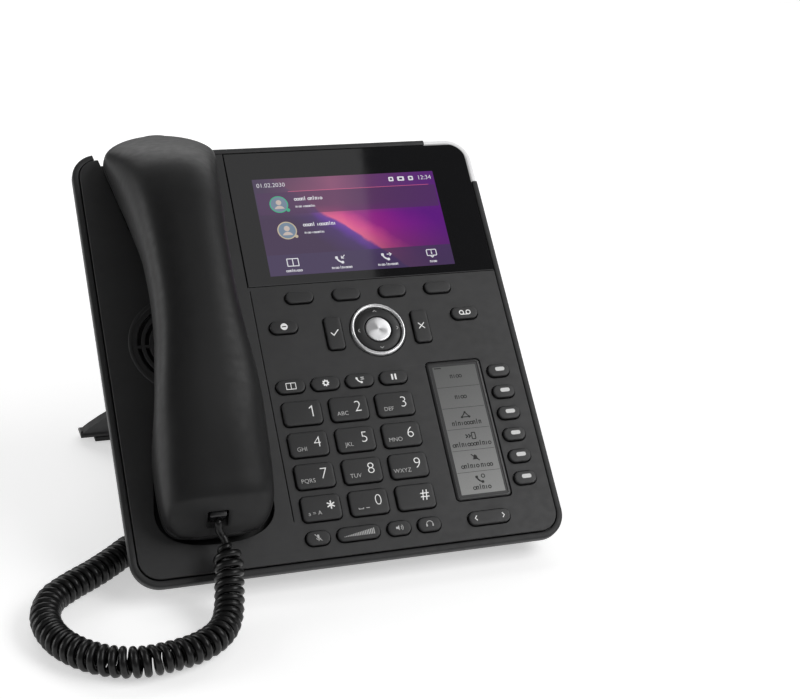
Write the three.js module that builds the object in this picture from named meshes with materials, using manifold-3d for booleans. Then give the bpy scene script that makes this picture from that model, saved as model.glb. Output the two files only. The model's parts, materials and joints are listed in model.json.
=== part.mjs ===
// A desk telephone: a sloping case with a colour display, a key field, a second display for the
// line keys, a corded handset in a bay on the left, and a clip-on stand behind.
// Millimetres. +X is to the right, +Y to the back and +Z up; the origin is the centre of the base.
import * as THREE from "three";
import { mergeVertices } from "three/addons/utils/BufferGeometryUtils.js";
import Module from "manifold-3d";

const wasm = await Module();
wasm.setup();

// ---------------------------------------------------------------- driving dimensions
// The case is drawn on its front face: u to the right, v up the slope, w out of the face.
const TILT = THREE.MathUtils.degToRad(43); // slope of the front face
const LIFT = 13.6; // height of the face's lower edge above the table
const GAP = 0.3; // clearance between pieces that touch

const COVER = { width: 198.3, height: 211.5, thick: 3.0, corner: 9.5 };
const RIM = { margin: 3.6, top: -0.6, floorTop: -3.4, floor: -5.2, groove: 0.6 };
const TUB = { left: 4.8, right: 196, bottom: 2.4, rearBottom: 5, top: 204, rear: -25.5,
  wall: 2.2, corner: 12 };
const LAND_HEIGHT = 1.5; // the case's lower rear corner is cut level at this height
const JACK_BAY = { left: 70, right: 178, bottom: 35, top: 75, floor: -13, wall: 2.2 };
const BOARD = { left: 76, right: 190, bottom: 14, top: 199, front: -8, rear: -9.6 };
const MAT = { left: 76, right: 193.4, bottom: 5.5, top: 134, front: -5.6, rear: -6.6 };

const WINDOW = { left: 71, bottom: 137.1, thick: 1.5 }; // glossy pane, out to the cover's corner
const SCREEN = { u: 130.85, v: 169.13, width: 95.04, height: 53.86 };
const LABEL = { u: 164.55, v: 54.5, width: 28.3, height: 71.7, corner: 2 };
const GUIDE = { fromU: 178, fromV: 189.4 }; // where the corner's light guide starts and stops

const HANDSET_U = 36.9;
const ASKEW = { pivot: 190, slope: 0.0075, lean: 0.035 }; // the handset lies a little askew in its bay
const HANDSET = { bottom: 14.5, top: 218.3, wall: 2.0, rows: 26, sides: 20 };
const HANDSET_SOCKET = { u: 34.1, v: 22, bottom: 12.6, top: 21.4, width: 9.4, depth: 18 };
const HANDSET_PLUG = { v: 24.4, length: 11, latchV: 23, latchLength: 7 };
const RECEIVER = { v: 193, radius: 11, rear: 1, shoulder: 4, crown: 6, crownRadius: 7 };
const WELL = { floor: -6, pan: 1.8 }; // depth below the face, and the pan's wall
const WELL_U = 37.2;
const EAR_WELL = { half: 18.6, topHalf: 30.5, shoulder: 175, sag: 8, top: 225 };
const MOUTH_WELL = { half: 27.1, topHalf: 22.4, shoulder: 30, sag: 17.2, top: 68 };
const GRILLE = { u: 35, v: 111, radii: [8.5, 12.2, 15.9, 19.6], slot: 1.9, spoke: 1.5 };
const HOOK = { u: HANDSET_U, v: 178, width: 9, depth: 6, top: -2.6, bottom: -15, hole: -12 };

const KEY = { proud: 1.5, foot: -4.2, flange: 0.8, flangeTop: -3.3, rockerTop: -3.8, clearance: 0.4 };
const NAV = { u: 130.8, v: 109.6, ringOuter: 13.65, ringInner: 11.8, hub: 6.75, ok: 6.3,
  ringFoot: -3, ringTop: 1.6, discTop: 1.1, okEdge: 1.3, okTop: 1.5, clearance: 0.45 };

const VENTS = { count: 6, u: 99.3, firstV: 172, pitch: 4.4, width: 60, height: 1.8 };

const JACKS = {
  handset: { u: 84, width: 12, opening: 8.4, height: 8.4 },
  headset: { u: 101, width: 12, opening: 8.4, height: 8.4 },
  network: { u: 122, width: 16, opening: 12.2, height: 9 },
  computer: { u: 142, width: 16, opening: 12.2, height: 9 },
  power: { u: 162, width: 11, opening: 7.4, height: 7.4 },
};
const JACK = { depth: 16, cavity: 13, height: 12.4, clearance: 0.4, recess: 3 };
const PLUG = { width: 7.6, height: 6.4, length: 15, inserted: 11 };
const LATCH = { width: 3, proud: 0.8, root: 0.5, back: 3, short: 7 }; // the plug's spring lever

const LABEL_PANE = { rear: -2.4, front: -0.2 };
const LCD = { rear: -7.2, front: -3.3, marginU: 5, marginV: 4, labelMargin: 1 };

// The leg leans from the table up to the back of the case, and its foot is the full width.
const STAND = { footY: 174, leanY: 46.7, leanZ: 95, thick: 4, left: 0, right: 196.6, base: 3 };
const LEG = { half: 55, foot: 2.2, waist: 36, top: 106, bendHalf: 88, bend: 16, taper: 3 };
const FOOT = { front: 3.5, back: 7, height: 6, tip: 1.2, slope: 4.5 };
const STAND_PLATE = { low: 98, hook: 136, hookEnd: 142, top: 152, thick: 3.3, hookDepth: 8.7, lip: 5.7 };
const STAND_PAD = { width: 182, depth: 8, height: 2.2 };
const FRONT_PAD = { width: 150, depth: 4.8, y: 21.6 };

const COIL = { diameter: 13.3, sides: 10, steps: 76 };
const LEAD = { diameter: 3.4, sides: 8, handsetSteps: 8, baseSteps: 16 };

// ---------------------------------------------------------------- materials
function material(color, roughness, metalness = 0) {
  return new THREE.MeshStandardMaterial({ color, roughness, metalness });
}
const housingPlastic = material(0x2b2b2c, 0.55);
const rearPlastic = material(0x262627, 0.62);
const handsetPlastic = material(0x1f1f20, 0.4);
const keyPlastic = material(0x2a2a2b, 0.5);
const glossBlack = material(0x0b0b0d, 0.08);
const navPlastic = material(0x121213, 0.3);
const chrome = material(0xd8d8da, 0.15, 1);
const brushedMetal = material(0xb9b9bb, 0.3, 1);
const lightPlastic = material(0xdcdcdc, 0.35);
const displayGrey = material(0x7d7f80, 0.4);
const displayColour = material(0x4b1f6b, 0.3);
const rubber = material(0x161616, 0.85);
const silicone = material(0x8b8d90, 0.7);
const boardGreen = material(0x1d5a38, 0.5);
const coneBlack = material(0x232325, 0.7);
const clearPlug = material(0xc9ced2, 0.2);
const cordPlastic = material(0x141414, 0.45);

// ---------------------------------------------------------------- shape helpers
// A rounded rectangle with its centre at (u, v) and `steps` chords in each corner.
function roundedRect(u, v, width, height, radius, steps = 2) {
  const points = [];
  const corners = [[1, 1], [-1, 1], [-1, -1], [1, -1]];
  corners.forEach(([su, sv], quarter) => {
    for (let i = 0; i <= steps; i += 1) {
      const angle = (quarter + i / steps) * (Math.PI / 2);
      points.push(new THREE.Vector2(
        u + su * (width / 2 - radius) + radius * Math.cos(angle),
        v + sv * (height / 2 - radius) + radius * Math.sin(angle),
      ));
    }
  });
  return new THREE.Shape(points);
}

function edges(left, right, bottom, top, radius, steps) {
  return roundedRect((left + right) / 2, (bottom + top) / 2, right - left, top - bottom, radius, steps);
}

// An outline in (u, v), made thick from w = low to w = high.
function slab(shape, low, high) {
  const geometry = new THREE.ExtrudeGeometry(shape, { depth: high - low, bevelEnabled: false });
  return geometry.translate(0, 0, low);
}

function block(u, v, low, high, width, height) {
  return new THREE.BoxGeometry(width, height, high - low).translate(u, v, (low + high) / 2);
}

// An outline in (v, w) or (Y, Z), drawn out along the first axis from `from` to `to`.
function sideProfile(points, from, to) {
  const shape = new THREE.Shape(points.map(([a, b]) => new THREE.Vector2(a, b)));
  const geometry = new THREE.ExtrudeGeometry(shape, { depth: to - from, bevelEnabled: false });
  const turn = new THREE.Matrix4().makeBasis(
    new THREE.Vector3(0, 1, 0), new THREE.Vector3(0, 0, 1), new THREE.Vector3(1, 0, 0));
  return geometry.applyMatrix4(turn).translate(from, 0, 0);
}

// A body of revolution about w, through (u, v); the profile is a list of [radius, w].
function turned(profile, segments, u = 0, v = 0) {
  const points = profile.map(([radius, w]) => new THREE.Vector2(radius, w));
  return new THREE.LatheGeometry(points, segments).rotateX(Math.PI / 2).translate(u, v, 0);
}

// A smooth function through a list of [position, value].
function smooth(knots) {
  const at = new THREE.CubicInterpolant(knots.map((k) => k[0]), knots.map((k) => k[1]), 1);
  return (position) => at.evaluate(position)[0];
}

// ---------------------------------------------------------------- joining and cutting
function solid(geometry) {
  const plain = geometry.clone();
  plain.deleteAttribute("normal");
  plain.deleteAttribute("uv");
  const merged = mergeVertices(plain, 1e-4);
  return new wasm.Manifold(new wasm.Mesh({
    numProp: 3,
    vertProperties: new Float32Array(merged.attributes.position.array),
    triVerts: new Uint32Array(merged.index.array),
  }));
}

function join(...geometries) {
  return geometries.map(solid).reduce((a, b) => a.add(b));
}

function cut(body, ...geometries) {
  return geometries.map(solid).reduce((a, b) => a.subtract(b), body);
}

function surface(body) {
  const found = body.getMesh();
  const geometry = new THREE.BufferGeometry();
  geometry.setAttribute("position", new THREE.BufferAttribute(found.vertProperties, 3));
  geometry.setIndex(new THREE.BufferAttribute(found.triVerts, 1));
  geometry.computeVertexNormals();
  return geometry;
}

// ---------------------------------------------------------------- the assembly
const phone = new THREE.Group();
const face = new THREE.Group(); // holds what is drawn in (u, v, w)
face.rotation.x = TILT;
face.position.z = LIFT;
phone.add(face);
face.updateMatrixWorld(true);

function place(parent, name, shape, finish) {
  const geometry = shape.isBufferGeometry ? shape : surface(shape);
  const mesh = new THREE.Mesh(geometry, finish);
  mesh.name = name;
  parent.add(mesh);
  return mesh;
}

// A point given on the face, in the upright frame.
function upright(u, v, w) {
  return new THREE.Vector3(u, v, w).applyMatrix4(face.matrix);
}

// ---------------------------------------------------------------- keys
// Each key is [name, u, v, width, height, corner radius].
function keyLayout() {
  const keys = [];
  for (let i = 0; i < 4; i += 1) {
    keys.push([`softkey_${i + 1}`, 95.1 + 23.58 * i, 129.7, 13.7, 6, 2.95]);
  }
  keys.push(["confirm_key", 108.7, 109.4, 8.2, 17, 1.8]);
  keys.push(["cancel_key", 152.8, 109.4, 8.2, 17, 1.8]);
  keys.push(["do_not_disturb_key", 84.6, 114.6, 13.6, 6.4, 3.15]);
  keys.push(["message_key", 176.6, 114.6, 13.6, 6.4, 3.15]);
  ["directory_key", "settings_key", "transfer_key", "hold_key"].forEach((name, i) => {
    keys.push([name, 82.3 + 16.91 * i, 83.9, 13.8, 6.6, 3.25]);
  });
  const dial = ["1", "2", "3", "4", "5", "6", "7", "8", "9", "star", "0", "hash"];
  dial.forEach((digit, i) => {
    const column = i % 3;
    const row = Math.floor(i / 3);
    keys.push([`key_${digit}`, 85.3 + 22.75 * column, 70.1 - 15.6 * row, 18.5, 11.9, 2.3]);
  });
  keys.push(["mute_key", 81.2, 9.4, 11.2, 6.6, 3.25]);
  keys.push(["volume_rocker", 100.4, 9.4, 20.3, 6.4, 3.15]);
  keys.push(["speaker_key", 119.8, 9.4, 11.2, 6.6, 3.25]);
  keys.push(["headset_key", 134.5, 9.4, 11.2, 6.6, 3.25]);
  keys.push(["page_rocker", 164.3, 9.4, 20.7, 6.5, 3.2]);
  for (let i = 0; i < 6; i += 1) {
    keys.push([`line_key_${i + 1}`, 186.8, 82.4 - 11.18 * i, 11.1, 6.3, 3.1]);
  }
  return keys;
}

// A cap with a flange under the cover; a rocker's flange is lower, so that its ends can rise.
function keyCap([name, u, v, width, height, radius]) {
  const wide = 2 * KEY.flange;
  const top = name.endsWith("rocker") ? KEY.rockerTop : KEY.flangeTop;
  return join(
    slab(roundedRect(u, v, width, height, radius), KEY.foot, KEY.proud),
    slab(roundedRect(u, v, width + wide, height + wide, radius, 1), KEY.foot, top),
  );
}

function keyHole([, u, v, width, height, radius]) {
  const wide = 2 * KEY.clearance;
  const outline = roundedRect(u, v, width + wide, height + wide, radius + KEY.clearance);
  return slab(outline, -COVER.thick - 1, 1);
}

function ringOf(outer, inner, low, high, segments) {
  return turned([[inner, low], [outer, low], [outer, high], [inner, high], [inner, low]],
    segments, NAV.u, NAV.v);
}

// ---------------------------------------------------------------- case
function coverOutline(grow = 0) {
  return edges(-grow, COVER.width + grow, -grow, COVER.height + grow, COVER.corner + grow, 5);
}

// A well in the cover: straight sides up to `top`, closed below by a squarish half-ellipse.
function wellOutline(well, grow) {
  const half = well.half + grow;
  const topHalf = well.topHalf + grow;
  const sag = well.sag + grow;
  const rounded = (value) => Math.sign(value) * Math.abs(value) ** 0.8;
  const points = [new THREE.Vector2(WELL_U + topHalf, well.top + grow),
    new THREE.Vector2(WELL_U - topHalf, well.top + grow)];
  for (let i = 0; i <= 16; i += 1) {
    const angle = Math.PI * (1 + i / 16);
    points.push(new THREE.Vector2(
      WELL_U + half * rounded(Math.cos(angle)),
      well.shoulder + sag * rounded(Math.sin(angle)),
    ));
  }
  return new THREE.Shape(points);
}

// One slot of the loudspeaker grille: a quarter of a ring, less half a spoke at each end.
function grilleSlot(radius, quarter) {
  const inner = radius - GRILLE.slot / 2;
  const outer = radius + GRILLE.slot / 2;
  const margin = GRILLE.spoke / 2 / radius;
  const start = (quarter * Math.PI) / 2 + margin;
  const end = ((quarter + 1) * Math.PI) / 2 - margin;
  const shape = new THREE.Shape();
  shape.absarc(GRILLE.u, GRILLE.v, outer, start, end, false);
  shape.absarc(GRILLE.u, GRILLE.v, inner, end, start, true);
  return slab(new THREE.Shape(shape.getPoints(2)), -COVER.thick - 1, 1);
}

function frontCover(keys) {
  const back = -COVER.thick;
  let body = join(slab(coverOutline(), back, 0));
  [EAR_WELL, MOUTH_WELL].forEach((well) => {
    const pan = slab(wellOutline(well, WELL.pan), WELL.floor - WELL.pan, back + 0.5);
    body = cut(body.add(solid(pan)), slab(wellOutline(well, 0), WELL.floor, 1));
  });
  body = body.intersect(solid(slab(coverOutline(), -20, 1)));
  const windowRight = COVER.width + 5;
  const windowTop = COVER.height + 5;
  const navHole = NAV.ringOuter + NAV.clearance;
  body = cut(
    body,
    slab(edges(WINDOW.left, windowRight, WINDOW.bottom, windowTop, 0.5, 1), -WINDOW.thick - GAP, 1),
    block(SCREEN.u, SCREEN.v, back - 1, 1, SCREEN.width + 4, SCREEN.height + 4),
    slab(roundedRect(LABEL.u, LABEL.v, LABEL.width, LABEL.height, LABEL.corner), back - 1, 1),
    turned([[0, back - 1], [navHole, back - 1], [navHole, 1], [0, 1]], 32, NAV.u, NAV.v),
    block(HOOK.u, HOOK.v, HOOK.hole, 1, HOOK.width + 1, HOOK.depth + 1),
    ...keys.map(keyHole),
  );
  GRILLE.radii.forEach((radius) => {
    for (let quarter = 0; quarter < 4; quarter += 1) {
      body = cut(body, grilleSlot(radius, quarter));
    }
  });
  return body;
}

// The band between the cover's groove and the case's outer edge, near the upper right corner.
function cornerBand(grow) {
  const band = cut(
    solid(slab(coverOutline(RIM.margin + grow), RIM.floor - grow, RIM.top + grow)),
    slab(coverOutline(RIM.groove - grow), RIM.floor - 1, 1),
  );
  const far = 60;
  const beside = block(GUIDE.fromU + far - grow, COVER.height, RIM.floor - 1, 1, 2 * far, 2 * far);
  const above = block(COVER.width, GUIDE.fromV + far - grow, RIM.floor - 1, 1, 2 * far, 2 * far);
  return band.intersect(solid(beside)).intersect(solid(above));
}

// The outer or inner shape of the deep part of the case. Its lower wall leans, and the lower rear
// corner is cut level.
function tubBody(inset) {
  const { left, right, bottom, rearBottom, top, rear } = TUB;
  const outline = edges(left + inset, right - inset, bottom + inset, top - inset,
    TUB.corner - inset, 3);
  const depth = slab(outline, rear + inset, inset ? 2 : RIM.floorTop);
  const lean = sideProfile([[bottom + inset, RIM.floorTop], [rearBottom + inset, rear],
    [rearBottom + inset, rear - 9], [-30, rear - 9], [-30, RIM.floorTop]], -9, right + 9);
  const level = (inset ? LAND_HEIGHT + TUB.wall : LAND_HEIGHT) - LIFT;
  const below = new THREE.BoxGeometry(400, 200, 40).translate(100, 0, level - 20);
  return cut(solid(depth), lean, below.rotateX(-TILT));
}

const jackMiddle = BOARD.rear - JACK.height / 2;
const jackMouth = JACK_BAY.top + JACK_BAY.wall + GAP;

// The opening of one jack in the bay's upper wall, with a recess for the plug in the bay's floor.
function jackWindow(jack) {
  const half = jack.height / 2 + JACK.clearance;
  const depth = JACK.recess + JACK_BAY.wall + 1;
  return block(jack.u, JACK_BAY.top - JACK.recess + depth / 2, jackMiddle - half, jackMiddle + half,
    jack.opening + 2 * JACK.clearance, depth);
}

function rearCover() {
  const { left, right, bottom, top, floor, wall } = JACK_BAY;
  let body = solid(slab(coverOutline(RIM.margin), RIM.floor, RIM.top));
  body = cut(body, slab(coverOutline(RIM.groove), RIM.floorTop, 1));
  body = body.add(tubBody(0)).subtract(tubBody(TUB.wall));
  const bayMiddle = [(left + right) / 2, (bottom + top) / 2];
  const lining = block(...bayMiddle, TUB.rear, floor + wall,
    right - left + 2 * wall, top - bottom + 2 * wall);
  body = body.add(solid(lining));
  body = cut(
    body,
    block(...bayMiddle, TUB.rear - 1, floor, right - left, top - bottom),
    ...Object.values(JACKS).map(jackWindow),
    slab(wellOutline(EAR_WELL, WELL.pan + GAP), WELL.floor - WELL.pan - GAP, 1),
  );
  for (let i = 0; i < VENTS.count; i += 1) {
    body = cut(body, block(VENTS.u, VENTS.firstV + VENTS.pitch * i, TUB.rear - 1,
      TUB.rear + TUB.wall + 1, VENTS.width, VENTS.height));
  }
  return body.subtract(cornerBand(GAP));
}

// The glossy pane over the colour display, out to the cover's upper right corner.
function displayWindow() {
  const pane = slab(coverOutline(), -WINDOW.thick, 0);
  const area = edges(WINDOW.left + GAP, COVER.width + 5, WINDOW.bottom + GAP, COVER.height + 5, 0.5, 1);
  return solid(pane).intersect(solid(slab(area, -3, 1)));
}

function mainBoard() {
  const board = edges(BOARD.left, BOARD.right, BOARD.bottom, BOARD.top, 3, 2);
  let body = solid(slab(board, BOARD.rear, BOARD.front));
  Object.values(JACKS).forEach((jack) => {
    body = body.add(solid(block(jack.u, jackMouth + JACK.depth / 2, BOARD.rear - JACK.height,
      BOARD.rear + 0.5, jack.width, JACK.depth)));
    body = cut(body, block(jack.u, jackMouth + JACK.cavity / 2 - 1, jackMiddle - jack.height / 2,
      jackMiddle + jack.height / 2, jack.opening, JACK.cavity + 2));
  });
  return body;
}

function keyMat() {
  const sheet = edges(MAT.left, MAT.right, MAT.bottom, MAT.top, 11, 2);
  return cut(
    solid(slab(sheet, MAT.rear, MAT.front)),
    block(LABEL.u, LABEL.v, MAT.rear - 1, 0, LABEL.width + 3.4, LABEL.height + 3.4),
  );
}

// A moving-coil loudspeaker: basket, dished cone and magnet.
function loudspeaker() {
  const profile = [[0, -17], [11, -17], [11, -10.5], [22, -5.5], [22, -3.4], [20, -3.4],
    [9, -8.2], [3, -6.6], [0, -6.4]];
  return turned(profile, 20, GRILLE.u, GRILLE.v);
}

// ---------------------------------------------------------------- handset
// Along v: half width, underside, crest, and the exponent that makes the section squarer below and
// above its widest level.
const handsetHalf = smooth([[14.5, 12.5], [15.5, 17.6], [17.5, 20.8], [21, 23.2], [28, 24.8],
  [45, 25.3], [60, 24.6], [80, 22.5], [110, 19.3], [140, 19.2], [160, 20.8], [178, 22.6], [190, 24.4],
  [199, 26.2], [205, 26.6], [210.5, 24], [214.5, 18.8], [217.2, 12], [218.3, 6.5]]);
const handsetUnder = smooth([[14.5, 4], [17, 0.4], [20, -2.4], [24, -4], [30, -4], [52, -3.6],
  [60, 2], [70, 11], [82, 15.6], [110, 17], [138, 15.6], [152, 11], [164, 5.6], [176, 0.2],
  [185, -3.4], [193, -4], [205, -4], [211, -3], [215, -0.2], [218.3, 4.2]]);
const handsetCrest = smooth([[14.5, 8], [17, 14], [20, 20], [23, 24.6], [26, 27.6], [36, 31],
  [60, 38.4], [85, 43], [110, 45], [140, 45], [160, 44], [172, 42.2], [185, 38.4], [195, 32.6],
  [204, 24.8], [211, 17.6], [215, 13.2], [218.3, 9]]);
const squareBelow = smooth([[14.5, 0.48], [40, 0.48], [75, 0.58], [218.3, 0.6]]);
const squareAbove = smooth([[14.5, 0.6], [25, 0.64], [60, 0.7], [150, 0.7], [180, 0.76],
  [195, 0.86], [218.3, 0.92]]);

// Its rows crowd towards both ends, where it curves most.
function handsetBody(wall) {
  const form = new THREE.CylinderGeometry(1, 1, 1, HANDSET.sides, HANDSET.rows);
  const { position } = form.attributes;
  const length = HANDSET.top - HANDSET.bottom - 2 * wall;
  for (let i = 0; i < position.count; i += 1) {
    const reach = Math.min(1, Math.hypot(position.getX(i), position.getZ(i)));
    const angle = Math.atan2(position.getZ(i), position.getX(i));
    const v = HANDSET.bottom + wall + ((1 + Math.sin(position.getY(i) * Math.PI)) / 2) * length;
    const exponent = angle > 0 ? squareAbove(v) : squareBelow(v);
    const squared = (value) => Math.sign(value) * Math.abs(value) ** exponent;
    const half = handsetHalf(v) - wall;
    const rise = (handsetCrest(v) - handsetUnder(v)) / 2 - wall;
    const w = (handsetCrest(v) + handsetUnder(v)) / 2 + reach * rise * squared(Math.sin(angle));
    const middle = HANDSET_U + ASKEW.slope * (v - ASKEW.pivot) + ASKEW.lean * w;
    position.setXYZ(i, middle + reach * half * squared(Math.cos(angle)), v, w);
  }
  return form;
}

// The parting line of the two shells, in (v, w), closed above or below.
function seamSide(limit, shift) {
  const line = [[0, 8], [60, 9], [85, 22], [140, 22], [165, 11], [195, 8], [225, 6.4]];
  const points = line.map(([v, w]) => [v, w + shift]);
  points.push([225, limit], [0, limit]);
  return sideProfile(points, HANDSET_U - 40, HANDSET_U + 40);
}

// The modular socket in the mouth end: a notch in the end face, then the plug's cavity.
function handsetSocket() {
  const { u, v, bottom, top, width, depth } = HANDSET_SOCKET;
  return block(u, v, bottom, top, width, depth);
}

function handsetShell(limit, shift) {
  const shell = cut(solid(handsetBody(0)), handsetBody(HANDSET.wall));
  return cut(shell.intersect(solid(seamSide(limit, shift))), handsetSocket());
}

// ---------------------------------------------------------------- stand
const standMiddle = (STAND.left + STAND.right) / 2;
const padTop = STAND_PAD.height + GAP;

// A flat leg that flares to the foot's width, drawn upright and then leaned back.
function standLeg() {
  const half = (STAND.right - STAND.left) / 2;
  const outline = new THREE.Shape();
  outline.moveTo(-half, 0);
  outline.lineTo(half, 0);
  outline.lineTo(half, LEG.foot);
  outline.quadraticCurveTo(LEG.bendHalf, LEG.bend, LEG.half, LEG.waist);
  outline.lineTo(LEG.half - LEG.taper, LEG.top);
  outline.lineTo(LEG.taper - LEG.half, LEG.top);
  outline.lineTo(-LEG.half, LEG.waist);
  outline.quadraticCurveTo(-LEG.bendHalf, LEG.bend, -half, LEG.foot);
  const leg = slab(new THREE.Shape(outline.getPoints(6)), -STAND.thick / 2, STAND.thick / 2);
  const lean = Math.atan2(STAND.leanZ, -STAND.leanY);
  return leg.rotateX(lean).translate(standMiddle, STAND.footY, STAND.base);
}

// The plate against the case's back, thickened where the leg meets it.
function standPlate() {
  const { low, hook, hookEnd, top, thick, hookDepth, lip } = STAND_PLATE;
  const rear = TUB.rear - GAP;
  const corners = [[low, 0], [top, 0], [top, lip], [hookEnd, hookDepth], [hook, thick], [low, thick]];
  const profile = corners.map(([v, depth]) => upright(0, v, rear - depth));
  const half = LEG.half - LEG.taper;
  return sideProfile(profile.map((p) => [p.y, p.z]), standMiddle - half, standMiddle + half);
}

function standFoot() {
  const front = STAND.footY - FOOT.front;
  const back = STAND.footY + FOOT.back;
  const tip = padTop + FOOT.tip;
  return sideProfile([[front, padTop], [back, padTop], [back, tip], [back - FOOT.slope, FOOT.height],
    [front + 1, FOOT.height], [front, tip]], STAND.left, STAND.right);
}

function stand() {
  const large = 400;
  const insideCase = block(standMiddle, COVER.height / 2, TUB.rear - GAP, 40, large, large);
  const belowFoot = new THREE.BoxGeometry(large, large, large)
    .translate(standMiddle, STAND.footY, padTop - large / 2);
  return cut(join(standLeg(), standPlate(), standFoot()),
    insideCase.applyMatrix4(face.matrix), belowFoot);
}

function footPad(y, width, depth, height) {
  return new THREE.BoxGeometry(width, depth, height).translate(standMiddle, y, height / 2);
}

// ---------------------------------------------------------------- cord
function tube(points, diameter, sides, steps) {
  const circle = [];
  for (let i = 0; i < sides; i += 1) {
    const angle = (i / sides) * 2 * Math.PI;
    circle.push(new THREE.Vector2(Math.cos(angle), Math.sin(angle)).multiplyScalar(diameter / 2));
  }
  const path = new THREE.CatmullRomCurve3(points.map(([x, y, z]) => new THREE.Vector3(x, y, z)));
  return new THREE.ExtrudeGeometry(new THREE.Shape(circle), { steps, extrudePath: path });
}

// The curly part's middle line: down in front of the case, a loop on the table to the left,
// and back under the case.
const coilRoute = [
  [37, -1.2, 28.6], [36.4, -8.6, 21.8], [35.4, -14.6, 15.2], [33.4, -22.8, 9.6], [30, -31.4, 7.1],
  [24, -40, 7], [15, -46.4, 7], [3.5, -49.8, 7], [-9.5, -50.8, 7], [-22, -46.8, 7],
  [-32.4, -38, 7], [-39.8, -25.6, 7], [-42.4, -9.8, 7], [-38.4, 4.6, 7], [-29.6, 13.8, 7],
  [-17, 23.4, 7], [-6.4, 32.8, 7], [3.6, 42.4, 7], [15.5, 49, 7], [28, 52.8, 7], [41, 54.8, 7.3],
];
// From the curly part's end up to the plug in the bay behind the case.
const baseLeadRoute = [
  [41.9, 54.9, 7.6], [47, 55.4, 7.7], [56, 55.4, 9], [66, 53.8, 13], [76, 51, 20.4],
  [82, 49.6, 27.5], [84, 50.8, 33], [84, 54.2, 37.4],
];
// From the handset's plug, down out of its socket, to the start of the curly part.
const handsetLeadRoute = [
  [34.1, 18.3, 17], [34, 16.6, 16.7], [34.2, 14.4, 14.8], [35.5, 12.5, 12.8], [36.4, 10.8, 12.3],
];

// A modular plug along v: its clear body and, under it, its latch.
function modularPlug(u, v, w, length, latchV, latchLength) {
  const bottom = w - PLUG.height / 2;
  return join(
    block(u, v, bottom, w + PLUG.height / 2, PLUG.width, length),
    block(u, latchV, bottom - LATCH.proud, bottom + LATCH.root, LATCH.width, latchLength),
  );
}

function basePlug() {
  const v = jackMouth + PLUG.inserted - PLUG.length / 2;
  return modularPlug(JACKS.handset.u, v, jackMiddle, PLUG.length, v - LATCH.back,
    PLUG.length - LATCH.short);
}

function handsetPlug() {
  const { u, bottom, top } = HANDSET_SOCKET;
  const { v, length, latchV, latchLength } = HANDSET_PLUG;
  return modularPlug(u, v, (bottom + top) / 2, length, latchV, latchLength);
}

// ---------------------------------------------------------------- putting it together
const labelPane = roundedRect(LABEL.u, LABEL.v, LABEL.width - 2 * GAP, LABEL.height - 2 * GAP,
  LABEL.corner - GAP);
const mainModule = block(SCREEN.u, SCREEN.v, LCD.rear, LCD.front,
  SCREEN.width + 2 * LCD.marginU, SCREEN.height + 2 * LCD.marginV);
const labelModule = block(LABEL.u, LABEL.v, LCD.rear, LCD.front,
  LABEL.width + 2 * LCD.labelMargin, LABEL.height + 2 * LCD.labelMargin);
const keys = keyLayout();
place(face, "front_cover", frontCover(keys), housingPlastic);
place(face, "rear_cover", rearCover(), rearPlastic);
place(face, "display_window", displayWindow(), glossBlack);
place(face, "status_light_guide", cornerBand(0), lightPlastic);
place(face, "label_window", slab(labelPane, LABEL_PANE.rear, LABEL_PANE.front), glossBlack);
place(face, "main_lcd_module", mainModule, displayColour);
place(face, "label_lcd_module", labelModule, displayGrey);
place(face, "main_board", mainBoard(), boardGreen);
place(face, "key_mat", keyMat(), silicone);
place(face, "loudspeaker", loudspeaker(), coneBlack);
place(face, "hook_switch", block(HOOK.u, HOOK.v, HOOK.bottom, HOOK.top, HOOK.width, HOOK.depth),
  keyPlastic);

keys.forEach((key) => place(face, key[0], keyCap(key), keyPlastic));
place(face, "nav_chrome_ring",
  ringOf(NAV.ringOuter, NAV.ringInner, NAV.ringFoot, NAV.ringTop, 32), chrome);
place(face, "nav_key", ringOf(NAV.ringInner - KEY.clearance, NAV.hub, KEY.foot, NAV.discTop, 28),
  navPlastic);
place(face, "ok_key", turned([[0, KEY.foot], [NAV.ok, KEY.foot], [NAV.ok, NAV.okEdge],
  [0, NAV.okTop]], 24, NAV.u, NAV.v), brushedMetal);

place(face, "handset_back_shell", handsetShell(60, GAP / 2), handsetPlastic);
place(face, "handset_front_shell", handsetShell(-20, -GAP / 2), handsetPlastic);
place(face, "handset_receiver", turned([[0, RECEIVER.rear], [RECEIVER.radius, RECEIVER.rear],
  [RECEIVER.radius, RECEIVER.shoulder], [RECEIVER.crownRadius, RECEIVER.crown],
  [0, RECEIVER.crown]], 20, HANDSET_U, RECEIVER.v), coneBlack);
place(face, "handset_plug", handsetPlug(), clearPlug);

place(phone, "stand", stand(), rearPlastic);
place(phone, "stand_foot_pad",
  footPad(STAND.footY, STAND_PAD.width, STAND_PAD.depth, STAND_PAD.height), rubber);
place(phone, "front_foot_pad",
  footPad(FRONT_PAD.y, FRONT_PAD.width, FRONT_PAD.depth, LAND_HEIGHT - GAP), rubber);
place(face, "handset_lead",
  tube(handsetLeadRoute, LEAD.diameter, LEAD.sides, LEAD.handsetSteps), cordPlastic);
place(phone, "cord_coil", tube(coilRoute, COIL.diameter, COIL.sides, COIL.steps), cordPlastic);
place(phone, "base_lead", tube(baseLeadRoute, LEAD.diameter, LEAD.sides, LEAD.baseSteps),
  cordPlastic);
place(face, "base_plug", basePlug(), clearPlug);

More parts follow.
